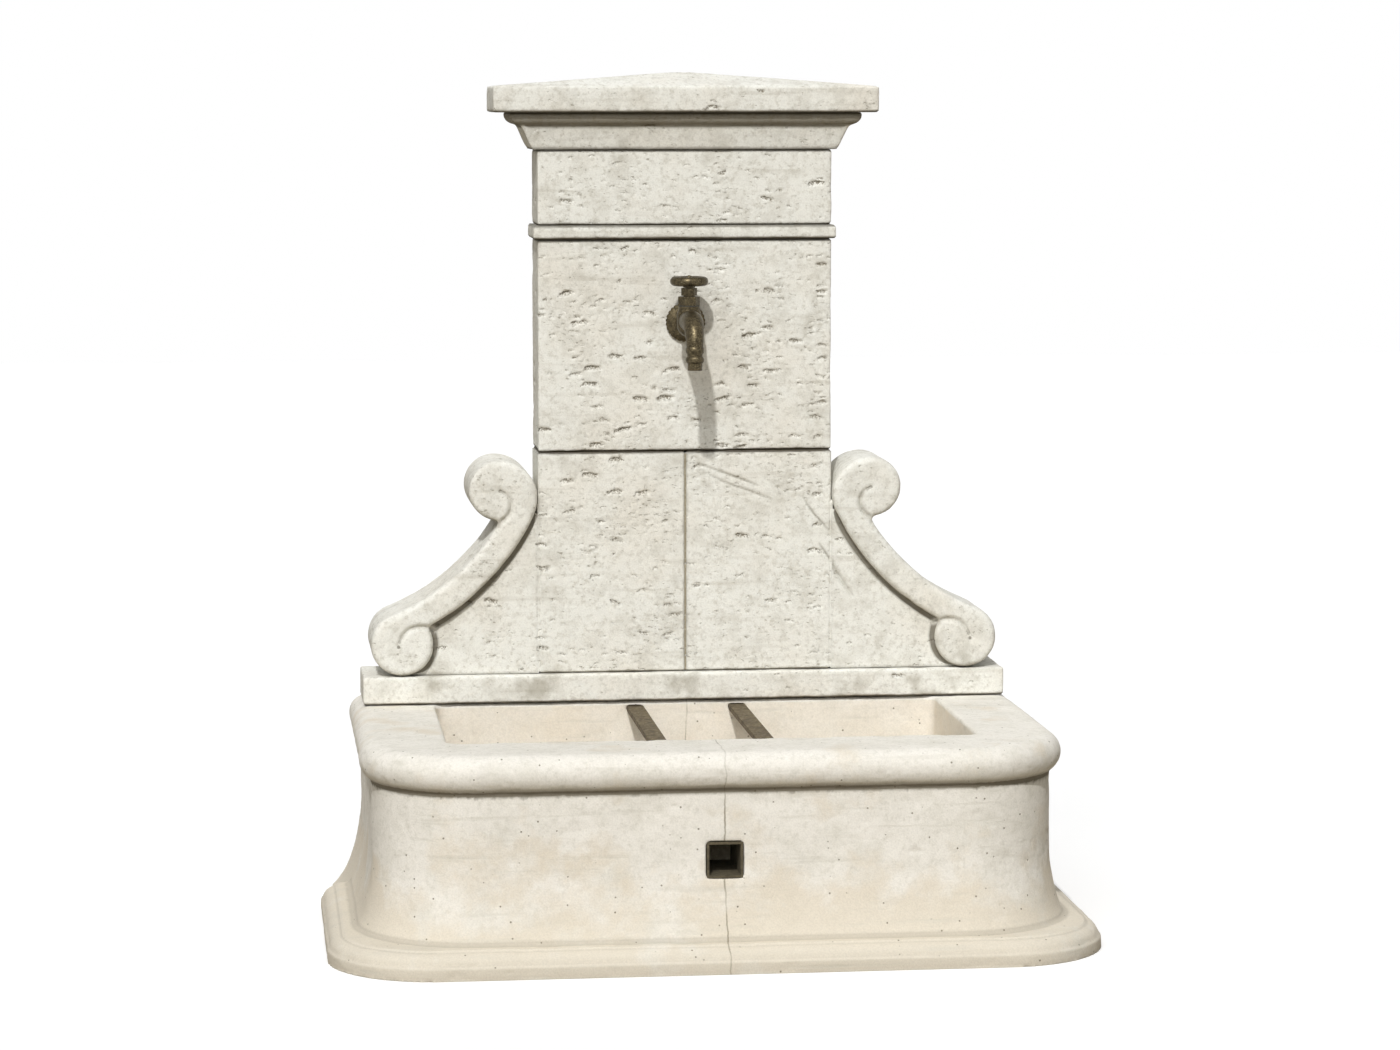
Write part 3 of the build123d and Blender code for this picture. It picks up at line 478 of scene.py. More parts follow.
def weathered(stone, box, joints, sizes, lines=None):
    """Wears a fine mesh. joints gives the bedded sides of its box, such as "-z", and how open each joint is."""
    low, high = box
    inputs = PLAIN | {"Lines": lines}
    inputs["Joint Low"] = [low[i] if "-" + axis in joints else -FAR for i, axis in enumerate("xyz")]
    inputs["Joint High"] = [high[i] if "+" + axis in joints else FAR for i, axis in enumerate("xyz")]
    inputs["Open Low"] = [joints.get("-" + axis, 1.0) for axis in "xyz"]
    inputs["Open High"] = [joints.get("+" + axis, 1.0) for axis in "xyz"]
    inputs.update(sizes)
    places = vertex_places(stone.data)
    bedded = np.abs(places - inputs["Joint Low"]) < ON_JOINT
    bedded |= np.abs(places - inputs["Joint High"]) < ON_JOINT
    bedded = bedded.any(axis=1)
    stone.vertex_groups.new(name="bedded").add(np.nonzero(bedded)[0].tolist(), 1.0, "REPLACE")
    wearing = stone.modifiers.new("Weathering", "NODES")
    wearing.node_group = weathering
    for item in weathering.interface.items_tree:
        if item.in_out == "INPUT" and item.name in inputs:
            wearing[item.identifier] = inputs[item.name]
    bpy.ops.object.modifier_apply(modifier=wearing.name)
    if bedded.any():
        thinned(stone, 1 - BEDDED_SAVING * bedded.mean(), "bedded")
    if triangle_count(stone.data) > MOST_TRIANGLES:
        thinned(stone, MOST_TRIANGLES / triangle_count(stone.data))
    if lines:
        bpy.data.objects.remove(lines)


def set_in_place(stone, node=None):
    """Shades a finished stone, sets it on its body and, where it stands for a CAD node, hides the node."""
    only(stone)
    bpy.ops.object.shade_smooth_by_angle(angle=SHARP_ANGLE)
    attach(stone, "stonework")
    if node:
        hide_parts(node)
    print(stone.name, triangle_count(stone.data), "triangles")
    return stone


def worn_stone(node, voxel, joints, sizes, lines=None):
    """A weathered copy of a stone, in its place."""
    stone = merged_copy(node)
    remeshed(stone, voxel)
    weathered(stone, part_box(node), joints, sizes, lines)
    return set_in_place(stone, node)


# %% [markdown]
# ## The column
# The blocks were cast with their faces rough, so they have many chips; the mouldings and the cap have few. Each
# bedded side has a number for how open its joint is: the joint under the tap block is wide open and dark, and the
# back against the wall is nearly shut.

# %% Cap, cornice, frieze and string
FINE = 2.5 * MM
COARSE = 3 * MM
FEW = {"Chip Depth": 2.5 * MM, "Chip Cover": 0.03, "Wave Depth": 1.6 * MM, "Wear": 0.7}
SOME = {"Chip Depth": 3.5 * MM, "Chip Cover": 0.2, "Wave Depth": 2.0 * MM, "Wear": 0.8}
MANY = {"Chip Depth": 4 * MM, "Chip Cover": 0.34, "Wave Depth": 2.0 * MM, "Wear": 0.8}

column = [
    worn_stone("cap", COARSE, {"-z": 0.6, "+y": 0.3}, FEW),
    worn_stone("cornice", FINE, {"-z": 0.8, "+z": 0.6, "+y": 0.3}, FEW),
    worn_stone("frieze_block", FINE, {"-z": 0.7, "+z": 0.5, "+y": 0.3}, SOME),
    worn_stone("string_course", FINE, {"-z": 0.8, "+z": 0.8, "+y": 0.3}, FEW),
]


# %% [markdown]
# Two long scratches cross the top of the right lower block, and cracks run down its edge. They could be sculpted,
# but curves drawn on the face are easier to move. Each point has its X and Z in millimetres and its share of the
# depth.

# %% Blocks
def drawn_lines(name, lines):
    """A curve with one smooth spline for each line. Each point has its place and its share of the full depth."""
    curve = bpy.data.curves.new(name, "CURVE")
    curve.dimensions = "3D"
    for points in lines:
        spline = curve.splines.new("NURBS")
        spline.points.add(len(points) - 1)
        for spot, (place, share) in zip(spline.points, points):
            spot.co = (*place, 1.0)
            spot.radius = share
        spline.order_u = 3
        spline.use_endpoint_u = True
    drawing = bpy.data.objects.new(name, curve)
    bpy.context.collection.objects.link(drawing)
    return drawing


def on_face(points, face_y):
    """Points given as x and z in millimetres and a share of the depth, on a face at face_y."""
    return [((x * MM, face_y, z * MM), share) for x, z, share in points]


face_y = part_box("tap_block")[0][1]
right_block_lines = [
    [(23, 803, 0.2), (64, 788, 0.7), (110, 771, 1.0), (134, 761, 0.3)],
    [(27, 792, 0.2), (67, 769, 0.5), (110, 755, 1.0), (156, 737, 0.3)],
    [(217, 740, 0.3), (234, 711, 0.9), (253, 692, 0.8), (266, 676, 0.3)],
    [(248, 652, 0.4), (258, 638, 1.0), (269, 622, 0.8)],
]
left_block_lines = [
    [(-186, 641, 0.2), (-174, 643, 0.8), (-161, 649, 0.3)],
]
left_scratches = drawn_lines("left scratches", [on_face(line, face_y) for line in left_block_lines])
right_scratches = drawn_lines("right scratches", [on_face(line, face_y) for line in right_block_lines])
SCRATCHED = SOME | {"Line Depth": 3 * MM, "Line Width": 4 * MM}
left_joints = {"-z": 0.4, "+z": 1.0, "-x": 0.1, "+x": 0.4, "+y": 0.3}
right_joints = {"-z": 0.4, "+z": 1.0, "-x": 0.4, "+x": 0.1, "+y": 0.3}
column += [
    worn_stone("tap_block", FINE, {"-z": 1.0, "+z": 0.9, "+y": 0.3}, MANY),
    worn_stone("lower_block_left", FINE, left_joints, SCRATCHED, left_scratches),
    worn_stone("lower_block_right", FINE, right_joints, SCRATCHED, right_scratches),
]

# %% [markdown]
# Mortar fills the upright joints. It is struck flush beside the wings and a little back between the two blocks.
# Each strip starts as a cube of the joint's size, remeshed and weathered with the same waves as the stones beside
# it.

# %% Pointing of the upright joints
STRIP_DEPTH = 20 * MM
STRIP_VOXEL = 2 * MM
STRIP_WEAR = SOME | {"Wear": 0.3}
ABOVE_LEDGE = 1 * MM
BELOW_TAP_BLOCK = 4 * MM
WING_DROP = 92 * MM  # from the blocks' top down to where a wing goes behind its scroll
SIDE_WIDTH, SIDE_RECESS = 9 * MM, 0.3 * MM
MIDDLE_WIDTH, MIDDLE_RECESS = 10 * MM, 1.8 * MM


def pointing(name, x, width, top_z, recess):
    """A strip of mortar, from the ledge up to top_z, with its face recess behind the stones' faces."""
    low = Vector((x - width / 2, face_y + recess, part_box("ledge")[1][2] + ABOVE_LEDGE))
    high = Vector((x + width / 2, face_y + recess + STRIP_DEPTH, top_z))
    bpy.ops.object.select_all(action="DESELECT")
    bpy.ops.mesh.primitive_cube_add(size=1, location=(low + high) / 2, scale=high - low)
    strip = bpy.context.object
    strip.name = name
    bpy.ops.object.transform_apply(location=True, rotation=True, scale=True)
    remeshed(strip, STRIP_VOXEL)
    weathered(strip, (low, high), {}, STRIP_WEAR)
    return set_in_place(strip)


half_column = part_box("tap_block")[1][0]
block_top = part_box("lower_block_left")[1][2]
column += [
    pointing("pointing_left", -half_column, SIDE_WIDTH, block_top - WING_DROP, SIDE_RECESS),
    pointing("pointing_right", half_column, SIDE_WIDTH, block_top - WING_DROP, SIDE_RECESS),
]
middle_mortar = pointing("pointing_middle", 0.0, MIDDLE_WIDTH, block_top - BELOW_TAP_BLOCK, MIDDLE_RECESS)

# %% [markdown]
# Each console is a smooth scroll that stands proud of a rough wing. A line curls into each volute from the notch
# where the band runs in; it is deep at the notch and fades at its end. The points are given from the eye of their
# volute, on the right console, and mirrored for the left one.

# %% Consoles
upper_eye = (342.5, 758.0)
lower_eye = (520.0, 478.0)
upper_curl = [
    (2, -66, 1.0), (-1, -57, 1.0), (-11, -51, 1.0), (-18, -43, 0.95), (-21.5, -33, 0.85), (-21.5, -23, 0.75),
    (-18, -13, 0.65), (-11, -5, 0.5), (-2, 0, 0.35), (4, 1, 0.1),
]
lower_curl = [
    (-60, 25, 1.0), (-49, 31, 1.0), (-40, 33.5, 1.0), (-30, 34, 0.95), (-19.5, 32, 0.85), (-10, 27, 0.75),
    (-2.5, 20, 0.65), (3.5, 11, 0.5), (6.5, 1, 0.35), (7, -3, 0.1),
]
wing_crack = [(270, 618, 0.8), (279, 599, 1.0), (298, 573, 0.9), (309, 554, 0.3)]
scroll_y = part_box("console_right")[0][1]


def console_lines(name, side):
    """The curls of one console, mirrored for the left one, and the crack that the right one has."""
    drawn = []
    for eye, curl in ((upper_eye, upper_curl), (lower_eye, lower_curl)):
        points = [(side * (eye[0] + x), eye[1] + z, share) for x, z, share in curl]
        drawn.append(on_face(points, scroll_y))
    if side > 0:
        drawn.append(on_face(wing_crack, face_y))
    return drawn_lines(name, drawn)


# Chips start just before the wing's face, so the scroll has none
SCROLL = {
    "Chip Depth": 3 * MM, "Chip Cover": 0.12, "Wave Depth": 1.8 * MM, "Wear": 0.3, "Line Depth": 7 * MM,
    "Line Width": 8 * MM, "Line Stain": 0.45, "Rough From Y": face_y - 6 * MM,
}
left_curls = console_lines("left curls", -1)
right_curls = console_lines("right curls", 1)
column += [
    worn_stone("console_left", FINE, {"-z": 0.4, "+x": 0.1, "+y": 0.3}, SCROLL, left_curls),
    worn_stone("console_right", FINE, {"-z": 0.4, "-x": 0.1, "+y": 0.3}, SCROLL, right_curls),
    worn_stone("ledge", FINE, {"-z": 0.9, "+y": 0.3}, FEW),
]

# %% [markdown]
# ## The basin
# The basin was trowelled smooth, over the joint of its two halves too. A remesh would round the sharp edges in
# that joint, so each half is pulled a little across it first, worn, and then cut at the joint plane.

# %% Basin
TROWELLED = {"Chip Depth": 2 * MM, "Chip Cover": 0.012, "Wave Depth": 2.2 * MM, "Wear": 0.35}
ACROSS = 15 * MM


def basin_half(node, side):
    """One half of the basin. side is the way of its joint face along X."""
    stone = merged_copy(node)
    bpy.ops.object.mode_set(mode="EDIT")
    bpy.ops.mesh.select_mode(type="VERT")
    bpy.ops.mesh.select_all(action="DESELECT")
    bpy.ops.object.mode_set(mode="OBJECT")
    stone.data.vertices.foreach_set("select", np.abs(vertex_places(stone.data)[:, 0]) < MERGE_GAP)
    bpy.ops.object.mode_set(mode="EDIT")
    bpy.ops.transform.translate(value=(side * ACROSS, 0, 0))
    bpy.ops.object.mode_set(mode="OBJECT")
    remeshed(stone, COARSE)
    weathered(stone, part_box(node), {"-z": 0.3, "+y": 0.3}, TROWELLED)
    bpy.ops.object.mode_set(mode="EDIT")
    bpy.ops.mesh.select_all(action="SELECT")
    bpy.ops.mesh.bisect(plane_co=(0, 0, 0), plane_no=(side, 0, 0), use_fill=True, clear_outer=True)
    bpy.ops.object.mode_set(mode="OBJECT")
    return set_in_place(stone, node)


basin = [basin_half("basin_left", 1), basin_half("basin_right", -1)]

# %% [markdown]
# ## Cast stone
# Cast stone is crushed limestone and white cement, tamped into a mould. Dry, it is matte and nearly white, with
# slow clouds of warm and grey and a grain of two or three millimetres. The material starts from clouds and lays
# one stain after another over them; some of the stains are painted shade in the hollows.

# %% Clouds, stains and grain
GRAIN_SIZE = 3 * MM
GRAIN_SHADES = {"From Min": 0.32, "From Max": 0.68, "To Min": 0.93, "To Max": 1.05}
STREAK_SIZE = 22 * MM
STREAK_STRETCH = (0.1, 0.4, 1.4)


def new_material(name):
    """An empty node material and its tree."""
    material = bpy.data.materials.new(name)
    material.use_nodes = True
    material.node_tree.nodes.clear()
    return material, material.node_tree


def surface(tree, values, links):
    """The shader and the output of a material."""
    shader = add_node(tree, "ShaderNodeBsdfPrincipled", values=values, links=links)
    add_node(tree, "ShaderNodeOutputMaterial", links={"Surface": shader}, out=None)


def stained(tree, base, colour, amount, most=1.0):
    """A base, a hex colour or a socket, with a stain where amount is above 0."""
    amount = add_node(tree, MATH, MULTIPLY, {1: most}, {0: amount})
    values, links = {"B": linear(colour)}, {"Factor": amount}
    if isinstance(base, str):
        values["A"] = linear(base)
    else:
        links["A"] = base
    return add_node(tree, "ShaderNodeMix", {"data_type": "RGBA"}, values, links, out="Result")


def clouds(tree, place, base, colour, size, reach, most):
    """Clouds of a colour over a base: their size, the noise values between which they rise, and their strength."""
    noise = add_node(
        tree, NOISE, values={"Scale": 1 / size, "Detail": 5, "Roughness": 0.62}, links={"Vector": place}
    )
    amount = add_node(
        tree, MAP_RANGE, values={"From Min": reach[0], "From Max": reach[1]}, links={"Value": noise}
    )
    return stained(tree, base, colour, amount, most)


def grain_nodes(tree, place, base):
    """Grains of two to three millimetres, lighter and darker than the base, and their noise."""
    grain = add_node(
        tree, NOISE, values={"Scale": 1 / GRAIN_SIZE, "Detail": 3, "Roughness": 0.6}, links={"Vector": place}
    )
    speck = add_node(tree, MAP_RANGE, values=GRAIN_SHADES, links={"Value": grain})
    mixed = add_node(
        tree, "ShaderNodeMix", {"data_type": "RGBA", "blend_type": "MULTIPLY"}, {"Factor": 1.0},
        {"A": base, "B": speck}, out="Result",
    )
    return mixed, grain


def streaks(tree, place, base, slope, colour, most):
    """Long marks of a brush or trowel: a noise drawn out along a slope, its highest crests only."""
    turned = add_node(
        tree, "ShaderNodeMapping", values={"Rotation": (0.0, slope, 0.0), "Scale": STREAK_STRETCH},
        links={"Vector": place},
    )
    marks = add_node(tree, NOISE, values={"Scale": 1 / STREAK_SIZE, "Detail": 4}, links={"Vector": turned})
    mark = add_node(tree, MAP_RANGE, values={"From Min": 0.58, "From Max": 0.74}, links={"Value": marks})
    return stained(tree, base, colour, mark, most), mark


def stored_values(tree, names):
    """The values that the weathering stored on the mesh."""
    return [add_node(tree, "ShaderNodeAttribute", {"attribute_name": name}, out="Fac") for name in names]


# %% [markdown]
# The rough face has four marks of its own. Water from the basin splashes its foot, and fine pores hold dark
# specks. Painted shade lies thick along the upper edge of each chip, and a painted shadow of the cap darkens the
# round of the cornice. Each is a stain with its own pattern, so that one can be turned down without touching the
# others.

# %% Splashes, pricks, chip shade and cap shadow
SPLASH_SIZE = 70 * MM
SPLASH_TOP, SPLASH_FOOT = 520 * MM, 400 * MM
PORE_SIZE = 9 * MM
PORE_FLATNESS = (1.0, 1.0, 2.0)
CAP_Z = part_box("cap")[0][2]
# Where the painted shadow of the cap on the cornice begins, and how soft its lower edge is
CAP_SHADOW_Z = CAP_Z - 25 * MM
CAP_SHADOW_EDGE = 4 * MM


def splashes(tree, place, z, base):
    """Splashes from the basin, with most of them on the foot of the column."""
    low = {"From Min": SPLASH_TOP, "From Max": SPLASH_FOOT, "To Max": 0.14}
    low = add_node(tree, MAP_RANGE, values=low, links={"Value": z})
    splash = add_node(tree, NOISE, values={"Scale": 1 / SPLASH_SIZE, "Detail": 6}, links={"Vector": place})
    splash = add_node(tree, MATH, ADD, links={0: splash, 1: low})
    splash = add_node(tree, MAP_RANGE, values={"From Min": 0.68, "From Max": 0.84}, links={"Value": splash})
    return stained(tree, base, "#9b9482", splash, 0.6)


def pricks(tree, place, rough, base):
    """Fine open pores in a flat layer, more of them where the face is torn, and where they are."""
    flat = add_node(tree, "ShaderNodeMapping", values={"Scale": PORE_FLATNESS}, links={"Vector": place})
    pores = add_node(
        tree, NOISE, values={"Scale": 1 / PORE_SIZE, "Detail": 4, "Roughness": 0.62}, links={"Vector": flat}
    )
    lifted = add_node(tree, MATH, MULTIPLY_ADD, {1: 0.05}, {0: rough, 2: pores})
    prick = add_node(tree, MAP_RANGE, values={"From Min": 0.65, "From Max": 0.73}, links={"Value": lifted})
    return stained(tree, base, "#8d846f", prick, 0.6), prick


def shaded_chips(tree, chip, grain, base):
    """Painted shade along the upper edges of the chips, broken by the grain."""
    chip_shade = add_node(tree, MAP_RANGE, values={"From Min": 0.06, "From Max": 0.6}, links={"Value": chip})
    broken = add_node(
        tree, MAP_RANGE, values={"From Min": 0.6, "From Max": 0.42, "To Min": 0.1}, links={"Value": grain}
    )
    chip_shade = add_node(tree, MATH, MULTIPLY, links={0: chip_shade, 1: broken})
    return stained(tree, base, "#665c48", chip_shade, 0.9)


def painted_cap_shadow(tree, z, base):
    """Painted shadow of the cap on the round of the cornice, from 25 mm below the cap up to it."""
    cap_shadowed = add_node(
        tree, MAP_RANGE, values={"From Min": CAP_SHADOW_Z, "From Max": CAP_SHADOW_Z + CAP_SHADOW_EDGE}, links={"Value": z}
    )
    below = add_node(tree, MATH, LESS_THAN, {1: CAP_Z}, {0: z})
    cap_shadowed = add_node(tree, MATH, MULTIPLY, links={0: cap_shadowed, 1: below})
    return stained(tree, base, "#6b624e", cap_shadowed, 0.75)


# %% [markdown]
# Here the stains are laid in order: clouds, brush streaks and grain first, splashes, pores and the painted shade
# in the chips next, then the dark of carved lines, the painted shade of creases and undersides, the dirt and
# painted shade of joints, and the painted shadow of the cap last. The bump repeats grain, pores and chips, finer
# than the mesh can.

# %% The stone of the column
def column_stone():
    """Rough cast stone: darker along carved lines, with painted shade in its chips, creases and undersides and
    under the cap, and dirt and painted shade in its joints.
    """
    material, tree = new_material("Cast stone, rough face")
    place = add_node(tree, "ShaderNodeTexCoord", out="Object")
    z = add_node(tree, SPLIT, links={0: place}, out=2)
    cover, joint, line, rough, hollow, under = stored_values(
        tree, ("cover", "joint", "line", "rough", "hollow", "under")
    )
    base = clouds(tree, place, "#ecebe3", "#e4dccd", 210 * MM, (0.46, 0.7), 0.5)
    base = clouds(tree, place, base, "#c8c4b8", 42 * MM, (0.48, 0.78), 0.8)
    base = clouds(tree, place, base, "#c8c4b8", 9 * MM, (0.5, 0.7), 0.75)
    base, _ = streaks(tree, place, base, -0.6, "#c4bfb2", 0.5)
    base, grain = grain_nodes(tree, place, base)
    base = splashes(tree, place, z, base)
    base, prick = pricks(tree, place, rough, base)
    chip = chip_pattern(tree, place, cover)
    # Painted shade in the chips
    base = shaded_chips(tree, chip, grain, base)

    # A carved line has its own stain, so no painted crease shade is added to it
    # Painted shade in the creases, from how hollow the shape is
    crease_shade = add_node(tree, MAP_RANGE, values={"From Min": 0.1, "From Max": 0.6}, links={"Value": hollow})
    plain = add_node(tree, MAP_RANGE, values={"From Min": 0.25, "From Max": 0.0}, links={"Value": line})
    crease_shade = add_node(tree, MATH, MULTIPLY, links={0: crease_shade, 1: plain})
    # Darker along carved lines, painted shade in creases and on undersides, and dirt and painted shade in the
    # joints
    for colour, amount, most in (
        ("#6b624d", line, 0.9), ("#5a5240", crease_shade, 0.8), ("#6b624e", under, 0.75), ("#453d2d", joint, 0.92)
    ):
        base = stained(tree, base, colour, amount, most)
    # Painted shadow of the cap on the round of the cornice
    base = painted_cap_shadow(tree, z, base)

    sunk = grain
    for part, depth in ((prick, -1.2), (chip, -2.0)):
        sunk = add_node(tree, MATH, MULTIPLY_ADD, {1: depth}, {0: part, 2: sunk})
    bump = add_node(tree, "ShaderNodeBump", values={"Strength": 0.6, "Distance": 1.2 * MM}, links={"Height": sunk})
    surface(tree, {"Roughness": 0.92, "Specular IOR Level": 0.25}, {"Base Color": base, "Normal": bump})
    return material


def dress(obj, material):
    """Gives an object one material."""
    obj.data.materials.clear()
    obj.data.materials.append(material)


rough_stone = column_stone()
for stone in column:
    dress(stone, rough_stone)
print(rough_stone.name, len(column), "pieces")

# %% [markdown]
# The basin is the same stone under a trowelled skin. Beige shows through low on the walls and inside the well;
# the rim is greyer. Pinholes are spread thinly, and long faint trowel marks slope up to the right. The joint of
# the halves was pointed and shows as a hairline that wavers about X = 0, darker here and there.

# %% The skin of the basin
WELL_HALF = 466 * MM
WELL_FRONT = -186 * MM
RIM_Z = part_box("basin_left")[1][2]
BELOW_RIM = 8 * MM
SKIN_SIZE = 150 * MM
THIN_HEIGHTS = {"From Min": 230 * MM, "From Max": 50 * MM, "To Min": -0.1, "To Max": 0.14}
FOOT_HEIGHTS = {"From Min": 130 * MM, "From Max": 30 * MM}
HOLE_SPACING = 16 * MM
HOLE_EDGE = {"From Min": 0.13, "From Max": 0.07}  # shares of that spacing
HOLE_CHANCE = 0.35
SEAM_SIZE = 40 * MM
SEAM_SWING = 12 * MM
SEAM_EDGE = {"From Min": 1.7 * MM, "From Max": 0.7 * MM}


def inside_well(tree, x, y, z):
    """1 inside the well, below its rim, and 0 elsewhere."""
    across = add_node(tree, MATH, ABSOLUTE, links={0: x})
    inside = add_node(tree, MATH, LESS_THAN, {1: WELL_HALF}, {0: across})
    for value, side, limit in ((y, GREATER_THAN, WELL_FRONT), (z, LESS_THAN, RIM_Z - BELOW_RIM)):
        held = add_node(tree, MATH, side, {1: limit}, {0: value})
        inside = add_node(tree, MATH, MULTIPLY, links={0: inside, 1: held})
    return inside


def thin_skin_and_foot(tree, slow, z, inside, base):
    """Beige where the skin is thin, low down and inside the well, and greyer and darker towards the foot."""
    low = add_node(tree, MAP_RANGE, values=THIN_HEIGHTS, links={"Value": z})
    thin = add_node(tree, MATH, ADD, links={0: slow, 1: low})
    thin = add_node(tree, MAP_RANGE, values={"From Min": 0.46, "From Max": 0.6}, links={"Value": thin})
    base = stained(tree, base, "#ded4c2", thin, 0.8)
    # Greyer and darker towards the foot
    foot = add_node(tree, MAP_RANGE, values=FOOT_HEIGHTS, links={"Value": z})
    base = stained(tree, base, "#cdc6b6", foot, 0.45)
    worn = add_node(
        tree, MAP_RANGE, values={"From Min": 0.3, "From Max": 0.6, "To Min": 0.3}, links={"Value": slow}
    )
    worn = add_node(tree, MATH, MULTIPLY, links={0: worn, 1: inside})
    return stained(tree, base, "#e6dccb", worn, 0.75)


def pinholes(tree, place):
    """1 in a pinhole: one in some cells of a random grid."""
    cells = add_node(
        tree, "ShaderNodeTexVoronoi", values={"Scale": 1 / HOLE_SPACING}, links={"Vector": place}, out=None
    )
    chance = add_node(tree, "ShaderNodeSeparateColor", links={0: cells["Color"]})
    here = add_node(tree, MATH, LESS_THAN, {1: HOLE_CHANCE}, {0: chance})
    hole = add_node(tree, MAP_RANGE, values=HOLE_EDGE, links={"Value": cells["Distance"]})
    return add_node(tree, MATH, MULTIPLY, links={0: hole, 1: here})


def pointed_seam(tree, place, x, slow):
    """1 on the hairline between the halves, less where it fades."""
    waver = add_node(tree, NOISE, values={"Scale": 1 / SEAM_SIZE, "Detail": 3}, links={"Vector": place})
    off = add_node(tree, MATH, MULTIPLY_ADD, {1: SEAM_SWING}, {0: waver, 2: x})
    off = add_node(tree, MATH, SUBTRACT, {1: SEAM_SWING / 2}, {0: off})
    off = add_node(tree, MATH, ABSOLUTE, links={0: off})
    seam = add_node(tree, MAP_RANGE, values=SEAM_EDGE, links={"Value": off})
    darker = add_node(
        tree, MAP_RANGE, values={"From Min": 0.42, "From Max": 0.58, "To Min": 0.3}, links={"Value": slow}
    )
    return add_node(tree, MATH, MULTIPLY, links={0: seam, 1: darker})


# %% [markdown]
# Put together, the skin comes first, then pinholes, trowel marks and the joint, then the painted shade of creases
# and undersides. The crease shade is darkest up towards the rim and is left out inside the well.

# %% The stone of the basin
# Between these heights the painted crease shade grows to full, towards the rim
CREASE_SHADE_HEIGHTS = {"From Min": 200 * MM, "From Max": 280 * MM, "To Min": 0.3}


def basin_stone():
    """Trowelled cast stone with pinholes, trowel marks and the pointed joint at X = 0."""
    material, tree = new_material("Cast stone, trowelled")
    place = add_node(tree, "ShaderNodeTexCoord", out="Object")
    x, y, z = add_node(tree, SPLIT, links={0: place}, out=None)
    hollow, under = stored_values(tree, ("hollow", "under"))
    slow = add_node(
        tree, NOISE, values={"Scale": 1 / SKIN_SIZE, "Detail": 5, "Roughness": 0.6}, links={"Vector": place}
    )
    inside = inside_well(tree, x, y, z)
    base = clouds(tree, place, "#ece8df", "#d9d5c9", 60 * MM, (0.45, 0.75), 0.7)
    base = clouds(tree, place, base, "#d4d0c4", 10 * MM, (0.5, 0.72), 0.7)
    base = thin_skin_and_foot(tree, slow, z, inside, base)
    base, grain = grain_nodes(tree, place, base)
    hole = pinholes(tree, place)
    base = stained(tree, base, "#6b614e", hole, 0.8)
    base, mark = streaks(tree, place, base, 0.45, "#c9c5b8", 0.45)
    seam = pointed_seam(tree, place, x, slow)
    base = stained(tree, base, "#7d745f", seam, 0.75)

    # Painted shade in the creases outside the well, strongest near the rim
    crease_shade = add_node(tree, MAP_RANGE, values={"From Min": 0.15, "From Max": 0.8}, links={"Value": hollow})
    crease_shade_height = add_node(tree, MAP_RANGE, values=CREASE_SHADE_HEIGHTS, links={"Value": z})
    outside = add_node(tree, MATH, SUBTRACT, {0: 1.0}, {1: inside})
    for part in (crease_shade_height, outside):
        crease_shade = add_node(tree, MATH, MULTIPLY, links={0: crease_shade, 1: part})
    base = stained(tree, base, "#5f5642", crease_shade, 0.85)
    # Painted shade on the undersides, such as under the rim
    base = stained(tree, base, "#665d48", under, 0.9)

    sunk = grain
    for part, depth in ((hole, -3.0), (mark, -0.8), (seam, -1.5)):
        sunk = add_node(tree, MATH, MULTIPLY_ADD, {1: depth}, {0: part, 2: sunk})
    bump = add_node(tree, "ShaderNodeBump", values={"Strength": 0.4, "Distance": 1.0 * MM}, links={"Height": sunk})
    surface(tree, {"Roughness": 0.9, "Specular IOR Level": 0.25}, {"Base Color": base, "Normal": bump})
    return material


smooth_stone = basin_stone()
for stone in basin:
    dress(stone, smooth_stone)
print(smooth_stone.name, len(basin), "pieces")

# %% [markdown]
# ## Metal, rubber and mortar
# The tap is cast brass under a dark chemical patina, and the bars and the overflow are wrought iron with a dry
# brown rust. Each could have its own node tree, but they differ only in their colours, their gloss and the size of
# their clouds, so one function makes them all from three colours.

# %% Metal, rubber and mortar finishes
def aged(name, dark, middle, light, metallic, roughness, size, dents):
    """A finish in three colours: clouds of size, roughness between two values, and dents of a depth."""
    material, tree = new_material(name)
    place = add_node(tree, "ShaderNodeTexCoord", out="Object")
    base = clouds(tree, place, dark, middle, size, (0.35, 0.6), 1.0)
    base = clouds(tree, place, base, light, size * 0.5, (0.55, 0.72), 0.8)
    fine = add_node(tree, NOISE, values={"Scale": 1 / (size * 0.3), "Detail": 4}, links={"Vector": place})
    rough = add_node(
        tree, MAP_RANGE, values=NOISE_SPAN | {"To Min": roughness[0], "To Max": roughness[1]},
        links={"Value": fine},
    )
    bump = add_node(tree, "ShaderNodeBump", values={"Strength": 0.5, "Distance": dents}, links={"Height": fine})
    surface(tree, {"Metallic": metallic}, {"Base Color": base, "Roughness": rough, "Normal": bump})
    return material


# Brown to the eye, with a dull golden gloss where the patina is thin
brass = aged("Antique brass, cast", "#352e1f", "#564c37", "#857b60", 0.8, (0.28, 0.5), 5 * MM, 0.12 * MM)
# Rust hides the metal: matte brown, with hardly a gleam
iron = aged("Wrought iron, rusted", "#4b4132", "#6c6048", "#8b7f68", 0.2, (0.7, 0.95), 14 * MM, 0.5 * MM)
# The same rusted iron, made darker and more even as painted shade for the sleeve deep in the opening
shaded_iron = aged("Wrought iron, painted shade", "#4a4333", "#5c5441", "#6f674f", 0.2, (0.75, 0.95), 14 * MM, 0.6 * MM)
# Pale and matte: painted light on the grate at the back of the dark opening
pale_lit_iron = aged("Cast iron, painted light", "#b8af95", "#cbc3ac", "#ddd6c2", 0.0, (0.8, 0.95), 10 * MM, 0.5 * MM)
